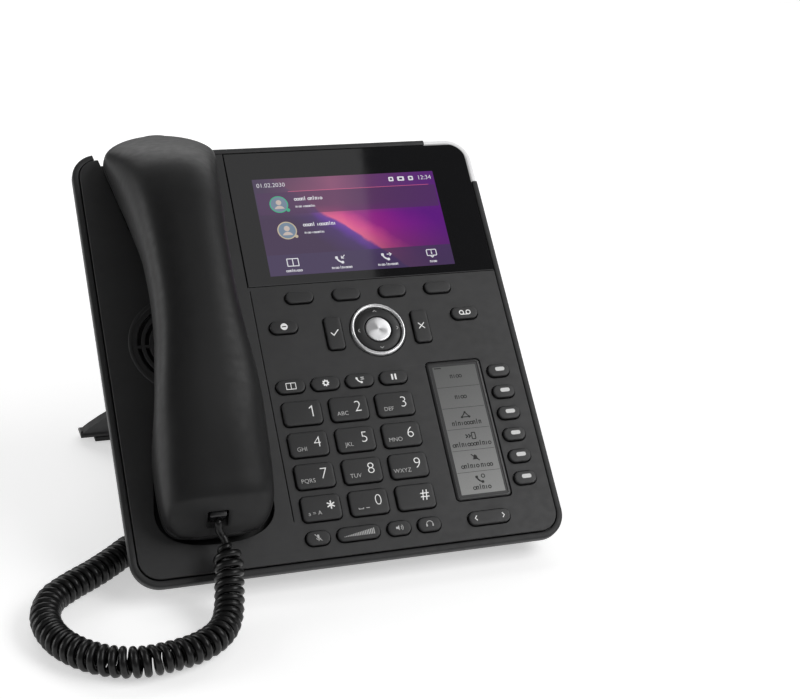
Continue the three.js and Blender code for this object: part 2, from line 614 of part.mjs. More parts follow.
// The origin is the centre of the base of everything but the cord.
const onCord = ["cord_coil", "base_lead", "handset_lead", "base_plug", "handset_plug"];
phone.updateMatrixWorld(true);
const extent = new THREE.Box3();
phone.traverse((mesh) => {
  if (mesh.isMesh && !onCord.includes(mesh.name)) extent.expandByObject(mesh, true);
});
const centre = extent.getCenter(new THREE.Vector3());
phone.position.set(-centre.x, -centre.y, -extent.min.z);

export default phone;
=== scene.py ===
"""The looks of a desk telephone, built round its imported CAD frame.

Pieces are built in millimetres in face coordinates: u to the right, v up the slope, w out of the face.
FACE turns them into the frame's metres.
"""

import json
import math

import bmesh
import bpy
from mathutils import Matrix, Vector


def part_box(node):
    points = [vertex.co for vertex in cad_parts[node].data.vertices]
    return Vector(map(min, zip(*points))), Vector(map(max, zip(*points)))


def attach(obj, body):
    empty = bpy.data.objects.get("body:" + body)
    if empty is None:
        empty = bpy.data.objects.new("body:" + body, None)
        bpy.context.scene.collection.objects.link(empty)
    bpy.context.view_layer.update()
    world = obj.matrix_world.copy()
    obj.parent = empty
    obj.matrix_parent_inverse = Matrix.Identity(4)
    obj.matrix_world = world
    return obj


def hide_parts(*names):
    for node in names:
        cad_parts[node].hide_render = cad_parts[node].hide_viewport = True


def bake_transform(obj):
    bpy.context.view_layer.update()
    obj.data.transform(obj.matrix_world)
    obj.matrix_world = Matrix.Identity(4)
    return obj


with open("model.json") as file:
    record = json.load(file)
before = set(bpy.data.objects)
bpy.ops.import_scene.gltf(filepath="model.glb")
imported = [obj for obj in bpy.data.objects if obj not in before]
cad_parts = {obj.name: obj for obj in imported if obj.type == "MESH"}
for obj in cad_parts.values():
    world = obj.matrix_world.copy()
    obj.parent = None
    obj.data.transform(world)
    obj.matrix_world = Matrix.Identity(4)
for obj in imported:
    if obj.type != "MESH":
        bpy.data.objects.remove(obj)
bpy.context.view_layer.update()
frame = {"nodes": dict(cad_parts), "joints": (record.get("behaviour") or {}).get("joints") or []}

# ------------------------------------------------------------------ the face's own coordinates
MM = 0.001
LIFT_AXIS = Vector(next(j["axis"] for j in frame["joints"] if j["name"] == "handset_lift"))
TILT = math.atan2(-LIFT_AXIS.y, LIFT_AXIS.z)
LOWER_EDGE = min((v.co for v in frame["nodes"]["front_cover"].data.vertices), key=lambda co: co.y)
ORIGIN = Vector((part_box("front_cover")[0].x, LOWER_EDGE.y, LOWER_EDGE.z))
FACE = Matrix.Translation(ORIGIN) @ Matrix.Rotation(TILT, 4, "X") @ Matrix.Scale(MM, 4)
TO_FACE = FACE.inverted()
# The same origin without the slope: X to the right, Y to the back, Z up from the table.
UPRIGHT = Matrix.Translation((ORIGIN.x, ORIGIN.y, 0)) @ Matrix.Scale(MM, 4)


def face_box(node):
    """Lowest and highest corner of a CAD node in face coordinates."""
    corners = [TO_FACE @ v.co for v in frame["nodes"][node].data.vertices]
    return [Vector(pick(c[axis] for c in corners) for axis in range(3)) for pick in (min, max)]


def face_middle(node):
    low, high = face_box(node)
    return (low.x + high.x) / 2, (low.y + high.y) / 2


def half_width(node):
    low, high = face_box(node)
    return (high.x - low.x) / 2


def linked(name, data):
    """A new object in the scene."""
    thing = bpy.data.objects.new(name, data)
    bpy.context.scene.collection.objects.link(thing)
    return thing


# ------------------------------------------------------------------ camera
EYE = Vector((-108.6, -194.2, 679.4))
AIM = Vector((139.7, 98.3, 0))
ROLL = math.radians(2.96)
LENS = 72.79


def add_camera():
    data = bpy.data.cameras.new("camera")
    data.lens = LENS
    data.sensor_width = 36
    data.clip_end = 50
    camera = linked("camera", data)
    eye = FACE @ EYE
    forward = (FACE @ AIM - eye).normalized()
    level = forward.cross(Vector((0, 0, 1))).normalized()
    right = level * math.cos(ROLL) + level.cross(forward) * math.sin(ROLL)
    up = right.cross(forward)
    camera.matrix_world = Matrix.Translation(eye) @ Matrix((right, up, -forward)).transposed().to_4x4()
    bpy.context.scene.camera = camera


add_camera()


# ------------------------------------------------------------------ materials
def shader_of(name, colour, roughness, **sockets):
    """A new material: its nodes, its links and its Principled shader, with the sockets set."""
    material = bpy.data.materials.new(name)
    material.use_nodes = True
    tree = material.node_tree
    shader = tree.nodes["Principled BSDF"]
    shader.inputs["Base Color"].default_value = (*colour, 1)
    shader.inputs["Roughness"].default_value = roughness
    for socket, value in sockets.items():
        shader.inputs[socket.replace("_", " ")].default_value = value
    return material, tree, shader


def noise(tree, scale, detail=2.0, stretch=None):
    """A noise value over the piece, `scale` features to a metre."""
    place = tree.nodes.new("ShaderNodeTexCoord").outputs["Object"]
    if stretch:
        mapping = tree.nodes.new("ShaderNodeMapping")
        mapping.inputs["Scale"].default_value = stretch
        tree.links.new(place, mapping.inputs["Vector"])
        place = mapping.outputs["Vector"]
    texture = tree.nodes.new("ShaderNodeTexNoise")
    texture.inputs["Scale"].default_value = scale
    texture.inputs["Detail"].default_value = detail
    tree.links.new(place, texture.inputs["Vector"])
    return texture.outputs["Fac"]


def ramp(tree, value, stops):
    """A colour from a value; stops are (position, (red, green, blue)) or (position, grey)."""
    node = tree.nodes.new("ShaderNodeValToRGB")
    elements = node.color_ramp.elements
    while len(elements) < len(stops):
        elements.new(0.5)
    for element, (position, tone) in zip(elements, stops):
        element.position = position
        rgb = tone if isinstance(tone, tuple) else (tone,) * 3
        element.color = (*rgb, 1)
    tree.links.new(value, node.inputs["Fac"])
    return node.outputs["Color"]


def mixed(tree, share, first, second, blend="MIX"):
    node = tree.nodes.new("ShaderNodeMix")
    node.data_type = "RGBA"
    node.blend_type = blend
    for value, socket in ((share, 0), (first, 6), (second, 7)):
        if isinstance(value, (int, float)):
            node.inputs[socket].default_value = value
        elif isinstance(value, tuple):
            node.inputs[socket].default_value = (*value, 1)
        else:
            tree.links.new(value, node.inputs[socket])
    return node.outputs[2]


def measured(tree, way, zero):
    """How far along `way` a point of the piece lies, less `zero`."""
    place = tree.nodes.new("ShaderNodeTexCoord").outputs["Object"]
    dot = tree.nodes.new("ShaderNodeVectorMath")
    dot.operation = "DOT_PRODUCT"
    dot.inputs[1].default_value = way
    tree.links.new(place, dot.inputs[0])
    shift = tree.nodes.new("ShaderNodeMath")
    shift.operation = "SUBTRACT"
    shift.inputs[1].default_value = zero
    tree.links.new(dot.outputs["Value"], shift.inputs[0])
    return shift.outputs[0]


def bumped(tree, shader, height, depth):
    node = tree.nodes.new("ShaderNodeBump")
    node.inputs["Strength"].default_value = 1
    node.inputs["Distance"].default_value = depth
    tree.links.new(height, node.inputs["Height"])
    tree.links.new(node.outputs["Normal"], shader.inputs["Normal"])


def scaled(colour, factor):
    return tuple(c * factor for c in colour)


def mottled(tree, socket, texture, low, high, spread=(0.3, 0.7)):
    """Lets a socket waver between two tones or values with a noise."""
    tree.links.new(ramp(tree, texture, [(spread[0], low), (spread[1], high)]), socket)


def plastic(name, colour, roughness, grain=3200, depth=0.000012, wear=0.35, **sockets):
    """Moulded plastic: a sparked grain, faint clouding, handling marks, and edges rubbed lighter."""
    material, tree, shader = shader_of(name, colour, roughness, **sockets)
    clouds = ramp(tree, noise(tree, 55, 3), [(0.3, scaled(colour, 0.9)), (0.7, scaled(colour, 1.1))])
    edge = ramp(tree, tree.nodes.new("ShaderNodeNewGeometry").outputs["Pointiness"], [
        (0.5, 0.0), (0.62, wear)])
    worn = mixed(tree, edge, clouds, tuple(min(1, c * 1.8 + 0.01) for c in colour))
    tree.links.new(worn, shader.inputs["Base Color"])
    mottled(tree, shader.inputs["Roughness"], noise(tree, 240, 5, (1, 1.6, 0.8)),
            roughness * 0.92, min(1.0, roughness * 1.1), (0.35, 0.7))
    bumped(tree, shader, noise(tree, grain, 3), depth)
    return material


def gloss(name, colour, roughness, **sockets):
    """A polished moulding: nearly smooth, with a slow waviness and fine wiping marks."""
    material, tree, shader = shader_of(name, colour, roughness, **sockets)
    mottled(tree, shader.inputs["Base Color"], noise(tree, 30, 2), scaled(colour, 0.92),
            scaled(colour, 1.08))
    mottled(tree, shader.inputs["Roughness"], noise(tree, 160, 5, (1, 0.2, 1)),
            roughness * 0.8, roughness * 1.5, (0.35, 0.75))
    bumped(tree, shader, noise(tree, 25, 1), 0.000004)
    return material


def metal(name, colour, roughness, metallic=1.0, anisotropic=0.0):
    """Plated or spun metal: an even tone with slight handling marks."""
    material, tree, shader = shader_of(name, colour, roughness, Metallic=metallic,
                                       Anisotropic=anisotropic)
    mottled(tree, shader.inputs["Base Color"], noise(tree, 200, 3), scaled(colour, 0.95), colour)
    mottled(tree, shader.inputs["Roughness"], noise(tree, 300, 4), roughness * 0.9, roughness * 1.2,
            (0.3, 0.8))
    bumped(tree, shader, noise(tree, 200, 1), 0.000001)
    return material


def printed(name, tone, painted_glow=0.0):
    """Printed legends and the line keys' windows: a pale tone with a slightly uneven ink, and an emission
    that is a painted glow, lightening them.
    """
    colour = (tone, tone, tone * 0.99)
    material, tree, shader = shader_of(name, colour, 0.5, Emission_Color=(*colour, 1),
                                       Emission_Strength=painted_glow)
    mottled(tree, shader.inputs["Base Color"], noise(tree, 1800, 2), scaled(colour, 0.9), colour)
    bumped(tree, shader, noise(tree, 4000, 1), 0.000003)
    return material


HOUSING = plastic("housing", (0.026, 0.026, 0.0268), 0.52)
REAR = plastic("rear_housing", (0.020, 0.020, 0.021), 0.56, grain=2200, depth=0.00002)
HANDSET = plastic("handset", (0.007, 0.007, 0.0074), 0.47, grain=3600, depth=0.000006, wear=0.2,
                  Specular_IOR_Level=0.33)
KEY = plastic("key", (0.018, 0.018, 0.0187), 0.46, depth=0.000008, wear=0.6)
# A darker copy of the key plastic for the keys' side walls: painted shade.
KEY_WALL_PAINTED_SHADE = plastic("key_side", (0.007, 0.007, 0.0073), 0.6, depth=0.000008, wear=0.0)
# The wells' floors are near black, darker than the housing: painted shade in the deep wells round the
# handset.
WELL_PAINTED_SHADE = plastic("well", (0.006, 0.006, 0.006), 0.6)
GLASS = gloss("display_glass", (0.004, 0.004, 0.005), 0.04)
BEZEL = plastic("label_bezel", (0.018, 0.018, 0.019), 0.36, wear=0.0)
# The light guide's emission is a painted glow that lightens the pale band.
GUIDE_PAINTED_GLOW = plastic("light_guide", (0.62, 0.62, 0.63), 0.3, wear=0.0, Emission_Color=(1, 1, 1, 1),
                Emission_Strength=0.34)
NAV_GLOSS = gloss("nav_gloss", (0.016, 0.016, 0.0166), 0.4)
CHROME = metal("chrome_ring", (0.92, 0.92, 0.93), 0.2, metallic=0.72)
SPUN = metal("ok_metal", (0.74, 0.74, 0.75), 0.3, metallic=0.85, anisotropic=0.85)
GOLD = metal("contact_gold", (0.83, 0.62, 0.26), 0.2)
STEEL = metal("screw_steel", (0.4, 0.4, 0.41), 0.35)
CORD = plastic("cord", (0.004, 0.004, 0.0042), 0.33, grain=1500, depth=0.00001, wear=0.0,
               Specular_IOR_Level=0.35)
CLEAR = gloss("plug", (0.62, 0.64, 0.66), 0.08, Transmission_Weight=0.75, IOR=1.58)
# A near-black plug moulding: painted shade for the handset's plug, deep in its dark notch.
PLUG_PAINTED_SHADE = gloss("plug_painted_shade", (0.008, 0.008, 0.009), 0.25)
RUBBER = plastic("foot_rubber", (0.014, 0.014, 0.014), 0.85, grain=1800, depth=0.00003)
SILICONE = plastic("silicone", (0.25, 0.26, 0.27), 0.7)
CONE = plastic("speaker_cone", (0.02, 0.02, 0.021), 0.75, grain=1200, depth=0.00004)
# The legends and the line keys' windows emit a little: a painted glow, not lamps.
LEGEND = printed("legend", 0.85, 0.25)
LEGEND_DIM = printed("legend_small", 0.62, 0.06)
LIT = printed("lit_window", 0.72, 0.15)
INK = printed("display_ink", 0.002)


# ------------------------------------------------------------------ building forms
def rounded(left, right, bottom, top, radius, steps=8):
    """The outline of a rounded rectangle, anticlockwise from its right side."""
    outline = []
    centres = [(right - radius, top - radius), (left + radius, top - radius),
               (left + radius, bottom + radius), (right - radius, bottom + radius)]
    for quarter, (u, v) in enumerate(centres):
        for i in range(steps + 1):
            angle = (quarter + i / steps) * math.pi / 2
            outline.append((u + radius * math.cos(angle), v + radius * math.sin(angle)))
    return outline


def centred(u, v, width, height, radius, steps=8):
    return rounded(u - width / 2, u + width / 2, v - height / 2, v + height / 2, radius, steps)


def arc(u, v, radius, start, end, steps=12):
    """Points along an arc, from `start` to `end` degrees."""
    angles = [math.radians(start + (end - start) * i / steps) for i in range(steps + 1)]
    return [(u + radius * math.cos(a), v + radius * math.sin(a)) for a in angles]


def circle(u, v, radius, steps=32):
    return arc(u, v, radius, 0, 360, steps)[:-1]


def at_height(outline, w):
    return [(u, v, w) for u, v in outline]


def turned(profile, u, v, steps=96):
    """Rings of a body of revolution about the face's normal through (u, v)."""
    angles = [2 * math.pi * i / steps for i in range(steps)]
    return [[(u + radius * math.cos(a), v + radius * math.sin(a), w) for a in angles]
            for radius, w in profile]


def smooth(knots):
    """A smooth function through [position, value] pairs, each slope taken across the neighbours."""
    xs = [k[0] for k in knots]
    ys = [k[1] for k in knots]
    last = len(knots) - 1
    slopes = [(ys[min(i + 1, last)] - ys[max(i - 1, 0)]) / (xs[min(i + 1, last)] - xs[max(i - 1, 0)])
              for i in range(last + 1)]

    def value(x):
        i = max(0, min(last - 1, sum(1 for k in xs[1:] if k <= x)))
        span = xs[i + 1] - xs[i]
        t = (x - xs[i]) / span
        return ((1 + 2 * t) * (1 - t) ** 2 * ys[i] + t * (1 - t) ** 2 * span * slopes[i]
                + t * t * (3 - 2 * t) * ys[i + 1] - t * t * (1 - t) * span * slopes[i + 1])

    return value


class Form:
    """Points and faces of a piece being built, with a material number for each face."""

    def __init__(self):
        self.points, self.faces, self.marks = [], [], []

    def add(self, points, faces, mark=0):
        start = len(self.points)
        self.points += [tuple(p) for p in points]
        self.faces += [[start + i for i in face] for face in faces]
        self.marks += [mark] * len(faces)
        return self

    def loft(self, rings, mark=0, closed=False):
        """A closed body through rings of equal counts, capped at both ends or joined end to end."""
        count = len(rings[0])
        spans = len(rings) if closed else len(rings) - 1
        faces = []
        for r in range(spans):
            near, far = r * count, (r + 1) % len(rings) * count
            for i in range(count):
                j = (i + 1) % count
                faces.append((near + i, near + j, far + j, far + i))
        if not closed:
            faces += [range(count - 1, -1, -1), range((len(rings) - 1) * count, len(rings) * count)]
        return self.add([p for ring in rings for p in ring], faces, mark)

    def prism(self, outline, low, high, mark=0):
        return self.loft([at_height(outline, low), at_height(outline, high)], mark)

    def stroke(self, line, width, low, high, mark=0, closed=False):
        """A flat ribbon along a line, with mitred corners."""
        rings = []
        last = len(line) - 1
        for i, here in enumerate(line):
            before = line[i - 1] if closed or i > 0 else None
            after = line[(i + 1) % (last + 1)] if closed or i < last else None
            ways = [(Vector(b) - Vector(a)).normalized() for a, b in ((before, here), (here, after))
                    if a is not None and b is not None]
            way = (ways[0] + ways[-1]).normalized()
            reach = width / 2 / max(0.35, way.dot(ways[0]))
            side = Vector((-way.y, way.x)) * reach
            left, right = Vector(here) + side, Vector(here) - side
            rings.append([(*left, low), (*right, low), (*right, high), (*left, high)])
        return self.loft(rings, mark, closed)

    def lettering(self, text, u, v, size, low, high, mark, thin):
        """Plain numerals and letters of Blender's own face, made into thin solids."""
        curve = bpy.data.curves.new("lettering", "FONT")
        curve.body = text
        curve.size = size
        curve.align_x = "CENTER"
        curve.align_y = "CENTER"
        curve.offset = -thin
        curve.extrude = (high - low) / 2
        curve.resolution_u = 4
        form = evaluated(linked("lettering", curve))
        middle = (low + high) / 2
        return self.add([(x + u, y + v, z + middle) for x, y, z in form.points], form.faces, mark)


def evaluated(thing):
    """The evaluated mesh of a helper object as a form; the helper is then removed."""
    bpy.context.view_layer.update()
    graph = bpy.context.evaluated_depsgraph_get()
    mesh = bpy.data.meshes.new_from_object(thing.evaluated_get(graph))
    work = bmesh.new()
    work.from_mesh(mesh)
    bmesh.ops.remove_doubles(work, verts=work.verts, dist=1e-4)
    work.verts.index_update()
    form = Form().add([v.co for v in work.verts], [[v.index for v in f.verts] for f in work.faces])
    work.free()
    bpy.data.meshes.remove(mesh)
    bpy.data.objects.remove(thing)
    return form


def mesh_of(form, name):
    mesh = bpy.data.meshes.new(name)
    mesh.from_pydata(form.points, [], form.faces)
    mesh.polygons.foreach_set("material_index", form.marks)
    work = bmesh.new()
    work.from_mesh(mesh)
    bmesh.ops.recalc_face_normals(work, faces=work.faces)
    work.to_mesh(mesh)
    work.free()
    return mesh


def carved(body, tools=(), operation="DIFFERENCE", bevel=0.0, limit=50):
    """The body with the tools cut out of it or joined to it, its sharp edges then bevelled."""
    subject = linked("subject", mesh_of(body, "subject"))
    helpers = [linked("tool", mesh_of(tool, "tool")) for tool in tools]
    for helper in helpers:
        boolean = subject.modifiers.new("boolean", "BOOLEAN")
        boolean.operation = operation
        boolean.object = helper
        boolean.solver = "EXACT"
    if bevel:
        edge = subject.modifiers.new("bevel", "BEVEL")
        edge.width = bevel
        edge.segments = 2
        edge.limit_method = "ANGLE"
        edge.angle_limit = math.radians(limit)
        edge.use_clamp_overlap = True
    form = evaluated(subject)
    for helper in helpers:
        bpy.data.objects.remove(helper)
    return form


def plate(outlines, low, high, bevel):
    """A flat plate: the first outline is its edge, the others are holes; all edges are rounded."""
    curve = bpy.data.curves.new("plate", "CURVE")
    curve.dimensions = "2D"
    curve.fill_mode = "BOTH"
    curve.extrude = (high - low) / 2 - bevel
    curve.bevel_depth = bevel
    curve.bevel_resolution = 2
    curve.offset = -bevel
    for outline in outlines:
        spline = curve.splines.new("POLY")
        spline.points.add(len(outline) - 1)
        for point, (u, v) in zip(spline.points, outline):
            point.co = (u, v, 0, 1)
        spline.use_cyclic_u = True
    form = evaluated(linked("plate", curve))
    middle = (low + high) / 2
    form.points = [(x, y, z + middle) for x, y, z in form.points]
    return form


class Pen:
    """Draws flat marks on a form: round (u, v), from `low` up to `high`, in one of its materials."""

    def __init__(self, form, low, high, mark, u=0.0, v=0.0):
        self.form, self.low, self.high, self.mark, self.u, self.v = form, low, high, mark, u, v

    def at(self, u, v):
        """The same pen round another point."""
        return Pen(self.form, self.low, self.high, self.mark, u, v)

    def toned(self, mark, rise=0.0):
        """The same pen in another material, with the tops of its marks `rise` higher."""
        return Pen(self.form, self.low, self.high + rise, mark, self.u, self.v)

    def placed(self, points):
        return [(self.u + x, self.v + y) for x, y in points]

    def line(self, points, width, closed=False):
        self.form.stroke(self.placed(points), width, self.low, self.high, self.mark, closed)

    def fill(self, outline):
        self.form.prism(self.placed(outline), self.low, self.high, self.mark)

    def write(self, text, x, y, size, thin):
        self.form.lettering(text, self.u + x, self.v + y, size, self.low, self.high, self.mark, thin)


def piece(form, name, materials, body, stands_for=(), space=FACE, angle=34, flat=False):
    """The finished piece: in place, shaded, riding on its body and standing for its CAD nodes."""
    mesh = mesh_of(form, name)
    mesh.transform(space)
    for material in materials:
        mesh.materials.append(material)
    mesh.shade_smooth()
    mesh.set_sharp_from_angle(angle=math.radians(angle))
    thing = linked(name, mesh)
    if flat:
        weighted = thing.modifiers.new("flat_faces", "WEIGHTED_NORMAL")
        weighted.keep_sharp = True
    if stands_for:
        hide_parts(*stands_for)
    if body:
        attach(thing, body)
    return thing


# ------------------------------------------------------------------ the curly cord
CORD_DIAMETER = 3.4
COIL_DIAMETER = 13.3
COIL_TURNS = 62
TURN_POINTS = 16
RUN_IN = 7.0  # over this length a straight lead winds up into the coil
CORD_SIDES = 12
COIL_ROUTE = [
    (37, -1.2, 28.6), (36.4, -8.6, 21.8), (35.4, -14.6, 15.2), (33.4, -22.8, 9.6), (30, -31.4, 7.1),
    (24, -40, 7), (15, -46.4, 7), (3.5, -49.8, 7), (-9.5, -50.8, 7), (-22, -46.8, 7),
    (-32.4, -38, 7), (-39.8, -25.6, 7), (-42.4, -9.8, 7), (-38.4, 4.6, 7), (-29.6, 13.8, 7),
    (-17, 23.4, 7), (-6.4, 32.8, 7), (3.6, 42.4, 7), (15.5, 49, 7), (28, 52.8, 7), (41, 54.8, 7.3)]
BASE_LEAD_ROUTE = [
    (41.9, 54.9, 7.6), (47, 55.4, 7.7), (56, 55.4, 9), (66, 53.8, 13), (76, 51, 20.4),
    (82, 49.6, 27.5), (84, 50.8, 33), (84, 54.2, 37.4)]
HANDSET_LEAD_ROUTE = [
    (34.1, 18.3, 17), (34, 16.6, 16.7), (34.2, 14.4, 14.8), (35.5, 12.5, 12.8), (36.4, 10.8, 12.3)]


def evenly(points, step):
    """The smooth line through the points, as points about `step` apart."""
    reach = [0.0]
    for a, b in zip(points, points[1:]):
        reach.append(reach[-1] + (b - a).length)
    axes = [smooth([(s, p[axis]) for s, p in zip(reach, points)]) for axis in range(3)]
    count = max(2, round(reach[-1] / step))
    return [Vector(f(reach[-1] * i / count) for f in axes) for i in range(count + 1)]


def carried_frames(line):
    """At each point of a line: its direction and two normals that never twist."""
    ways = [(line[min(i + 1, len(line) - 1)] - line[max(i - 1, 0)]).normalized()
            for i in range(len(line))]
    normal = ways[0].orthogonal().normalized()
    frames = []
    for way in ways:
        normal = (normal - way * normal.dot(way)).normalized()
        frames.append((way, normal, way.cross(normal)))
    return frames


def cord_path():
    """The cord's middle line through handset lead, curly part and base lead, and the lead's count."""
    to_upright = UPRIGHT.inverted() @ FACE
    handset_lead = evenly([to_upright @ Vector(p) for p in HANDSET_LEAD_ROUTE], 0.7)
    base_lead = evenly([Vector(p) for p in BASE_LEAD_ROUTE], 1.5)
    steps = COIL_TURNS * TURN_POINTS
    rough = evenly([Vector(p) for p in COIL_ROUTE], 0.25)
    middle = [rough[round(i * (len(rough) - 1) / steps)] for i in range(steps + 1)]
    length = sum((b - a).length for a, b in zip(middle, middle[1:]))
    reach = (COIL_DIAMETER - CORD_DIAMETER) / 2
    coil = []
    for i, (point, (_, side, up)) in enumerate(zip(middle, carried_frames(middle))):
        from_end = min(i, steps - i) / steps * length / RUN_IN
        share = min(1.0, from_end)
        radius = reach * share * share * (3 - 2 * share)
        angle = 2 * math.pi * i / TURN_POINTS
        coil.append(point + radius * (side * math.cos(angle) + up * math.sin(angle)))
    return handset_lead + coil[1:-1] + base_lead, len(handset_lead)


def tube(line, radius, sides):
    """A round tube along a line, with slightly rounded ends."""
    rings = []
    for i, (point, (_, side, up)) in enumerate(zip(line, carried_frames(line))):
        size = radius * (0.7 if i in (0, len(line) - 1) else 1)
        rings.append([point + size * (side * math.cos(a) + up * math.sin(a))
                      for a in (2 * math.pi * k / sides for k in range(sides))])
    return Form().loft(rings)


def add_cord():
    line, lead_count = cord_path()
    thing = piece(tube(line, CORD_DIAMETER / 2, CORD_SIDES), "curly_cord", [CORD], None,
                  ["cord_coil", "base_lead", "handset_lead"], UPRIGHT, angle=60)
    # The cord's points are laid out in a straight row while its transform is baked, and then put back.
    shape = [v.co.copy() for v in thing.data.vertices]
    for i, vertex in enumerate(thing.data.vertices):
        vertex.co = (i // CORD_SIDES, 0, 0)
    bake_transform(thing)
    for vertex, place in zip(thing.data.vertices, shape):
        vertex.co = place
    thing.data.update()
    return thing, [UPRIGHT @ p for p in line]


def modular_plug(node, name, body, moulding):
    """A modular plug: rounded body, latch, and four gold blades under its front edge."""
    low, high = face_box(node)
    u = (low.x + high.x) / 2
    floor = low.z + 0.8
    edge = 0.5
    shapes = [(low.x, high.x, floor, high.z, low.y, high.y, edge),
              (u - 1.5, u + 1.5, low.z, floor + 0.3, low.y + 1, high.y - 3, 0.2)]
    form = Form()
    for left, right, bottom, top, near, far, inset in shapes:
        rings = []
        for v, d in ((near, inset), (near + inset, 0), (far - inset, 0), (far, inset)):
            outline = rounded(left + d, right - d, bottom + d, top - d, edge - d / 2, 3)
            rings.append([(a, v, b) for a, b in outline])
        form.loft(rings)
    for i in range(4):
        blade = u + (i - 1.5) * 1.25
        form.prism(rounded(blade - 0.2, blade + 0.2, high.y - 3.5, high.y - 0.4, 0.1, 2),
                   high.z - 1.2, high.z + 0.05, 1)
    return piece(form, name, [moulding, GOLD], body, [node])


cord_thing, cord_line = add_cord()
# The handset's plug is darkened as painted shade in its notch; the base's plug is clear.
handset_plug = modular_plug("handset_plug", "handset_plug_body", "handset", PLUG_PAINTED_SHADE)
base_plug = modular_plug("base_plug", "base_plug_body", "base", CLEAR)

# ------------------------------------------------------------------ case
COVER_WIDTH, COVER_HEIGHT = face_box("front_cover")[1].xy
COVER_CORNER = 9.5
COVER_THICK = 3.0
SEAM = 0.3
WELL_U = 37.2
EAR_WELL = {"half": 18.6, "top_half": 30.5, "shoulder": 175, "sag": 8, "top": 225}
MOUTH_WELL = {"half": 27.1, "top_half": 22.4, "shoulder": 30, "sag": 17.2, "top": 68}
WELL_FLOOR = -6.0
WELL_FILLET = 1.5
PAN = 1.8
LABEL_CORNER = 2.0
GRILLE = {"u": 35, "v": 111, "radii": (8.5, 12.2, 15.9, 19.6), "slot": 1.9, "spoke": 1.5, "rim": 23.7}


def cover_outline(grow=0.0, steps=14):
    return rounded(-grow, COVER_WIDTH + grow, -grow, COVER_HEIGHT + grow, COVER_CORNER + grow, steps)


def well_curve(well, grow=0.0, steps=36):
    """The lower edge of a well, from its left side to its right: a squarish half-ellipse."""
    points = []
    for i in range(steps + 1):
        angle = math.pi * (1 + i / steps)
        cosine, sine = math.cos(angle), math.sin(angle)
        points.append((WELL_U + (well["half"] + grow) * math.copysign(abs(cosine) ** 0.8, cosine),
                       well["shoulder"] + (well["sag"] + grow) * math.copysign(abs(sine) ** 0.8, sine)))
    return points


def well_half(well, v):
    """A well's half width at v, above its shoulder."""
    share = (v - well["shoulder"]) / (well["top"] - well["shoulder"])
    return well["half"] + (well["top_half"] - well["half"]) * share


def well_outline(well, grow=0.0, top=None):
    top = well["top"] + grow if top is None else top
    side = well_half(well, top - grow) + grow
    return [(WELL_U + side, top), (WELL_U - side, top), *well_curve(well, grow)]


PLAIN_KEYS = [
    *[f"softkey_{i}" for i in range(1, 5)],
    "confirm_key", "cancel_key", "do_not_disturb_key", "message_key",
    "directory_key", "settings_key", "transfer_key", "hold_key",
    *[f"key_{digit}" for digit in (*"123456789", "star", "0", "hash")],
    "mute_key", "volume_rocker", "speaker_key", "headset_key", "page_rocker",
    *[f"line_key_{i}" for i in range(1, 7)],
]
FLANGE = 0.8
HOLE_CLEARANCE = 0.4


def key_size(node):
    """Middle, width, height and corner radius of a key's cap."""
    low, high = face_box(node)
    width, height = high.x - low.x - 2 * FLANGE, high.y - low.y - 2 * FLANGE
    radius = 2.3 if width > 18 and height > 10 else 1.8 if height > width else height / 2 - 0.05
    return *face_middle(node), width, height, radius


def key_hole(node):
    u, v, width, height, radius = key_size(node)
    wide = 2 * HOLE_CLEARANCE
    return centred(u, v, width + wide, height + wide, radius + HOLE_CLEARANCE, 7)


def grille_slots():
    slots = []
    for radius in GRILLE["radii"]:
        margin = math.degrees(GRILLE["spoke"] / 2 / radius)
        for quarter in range(4):
            start, end = 90 * quarter + margin, 90 * (quarter + 1) - margin
            slots.append(arc(GRILLE["u"], GRILLE["v"], radius + GRILLE["slot"] / 2, start, end)
                         + arc(GRILLE["u"], GRILLE["v"], radius - GRILLE["slot"] / 2, end, start))
    return slots


def add_front_cover():
    window_low = face_box("display_window")[0]
    left, bottom = window_low.x - SEAM, window_low.y - SEAM
    well_left = WELL_U - well_half(EAR_WELL, COVER_HEIGHT)
    well_right = WELL_U + well_half(EAR_WELL, COVER_HEIGHT)
    corner = [p for p in cover_outline() if p[0] < well_left and p[1] > COVER_HEIGHT / 2]
    lower = [p for p in cover_outline() if p[1] < COVER_HEIGHT / 2]
    well_edge = [(well_left, COVER_HEIGHT - 0.2), *well_curve(EAR_WELL), (well_right, COVER_HEIGHT)]
    outline = [(left, COVER_HEIGHT), *reversed(well_edge), *corner, *lower,
               (COVER_WIDTH, bottom), (left, bottom)]
    label_low, label_high = face_box("label_window")
    hook_low, hook_high = face_box("hook_switch")
    seam_u = left + 0.8
    holes = [
        rounded(label_low.x - SEAM, label_high.x + SEAM, label_low.y - SEAM, label_high.y + SEAM,
                LABEL_CORNER),
        circle(*face_middle("nav_chrome_ring"), half_width("nav_chrome_ring") + 0.45, 72),
        well_outline(MOUTH_WELL),
        rounded(seam_u - 0.12, seam_u + 0.12, 18.5, bottom - 2, 0.1, 2),
        *grille_slots(),
        *[key_hole(node) for node in PLAIN_KEYS],
    ]
    form = plate([outline, *holes], -COVER_THICK, 0, 0.28)
    rim = [(GRILLE["rim"] + du, w)
           for du, w in ((-1.1, -0.2), (-0.8, 0.25), (0, 0.45), (0.8, 0.25), (1.1, -0.2))]
    form.loft(turned(rim, GRILLE["u"], GRILLE["v"]), closed=True)
    piece(form, "front_cover_shell", [HOUSING], "base", ["front_cover"], flat=True)
    hook = Form().prism(rounded(hook_low.x - 0.5, hook_high.x + 0.5, hook_low.y - 0.5, hook_high.y + 0.5,
                                0.5), -12, 1)
    add_well_pan("ear_well_pan", EAR_WELL, COVER_HEIGHT, hook)
    add_well_pan("mouth_well_pan", MOUTH_WELL, None, hook)


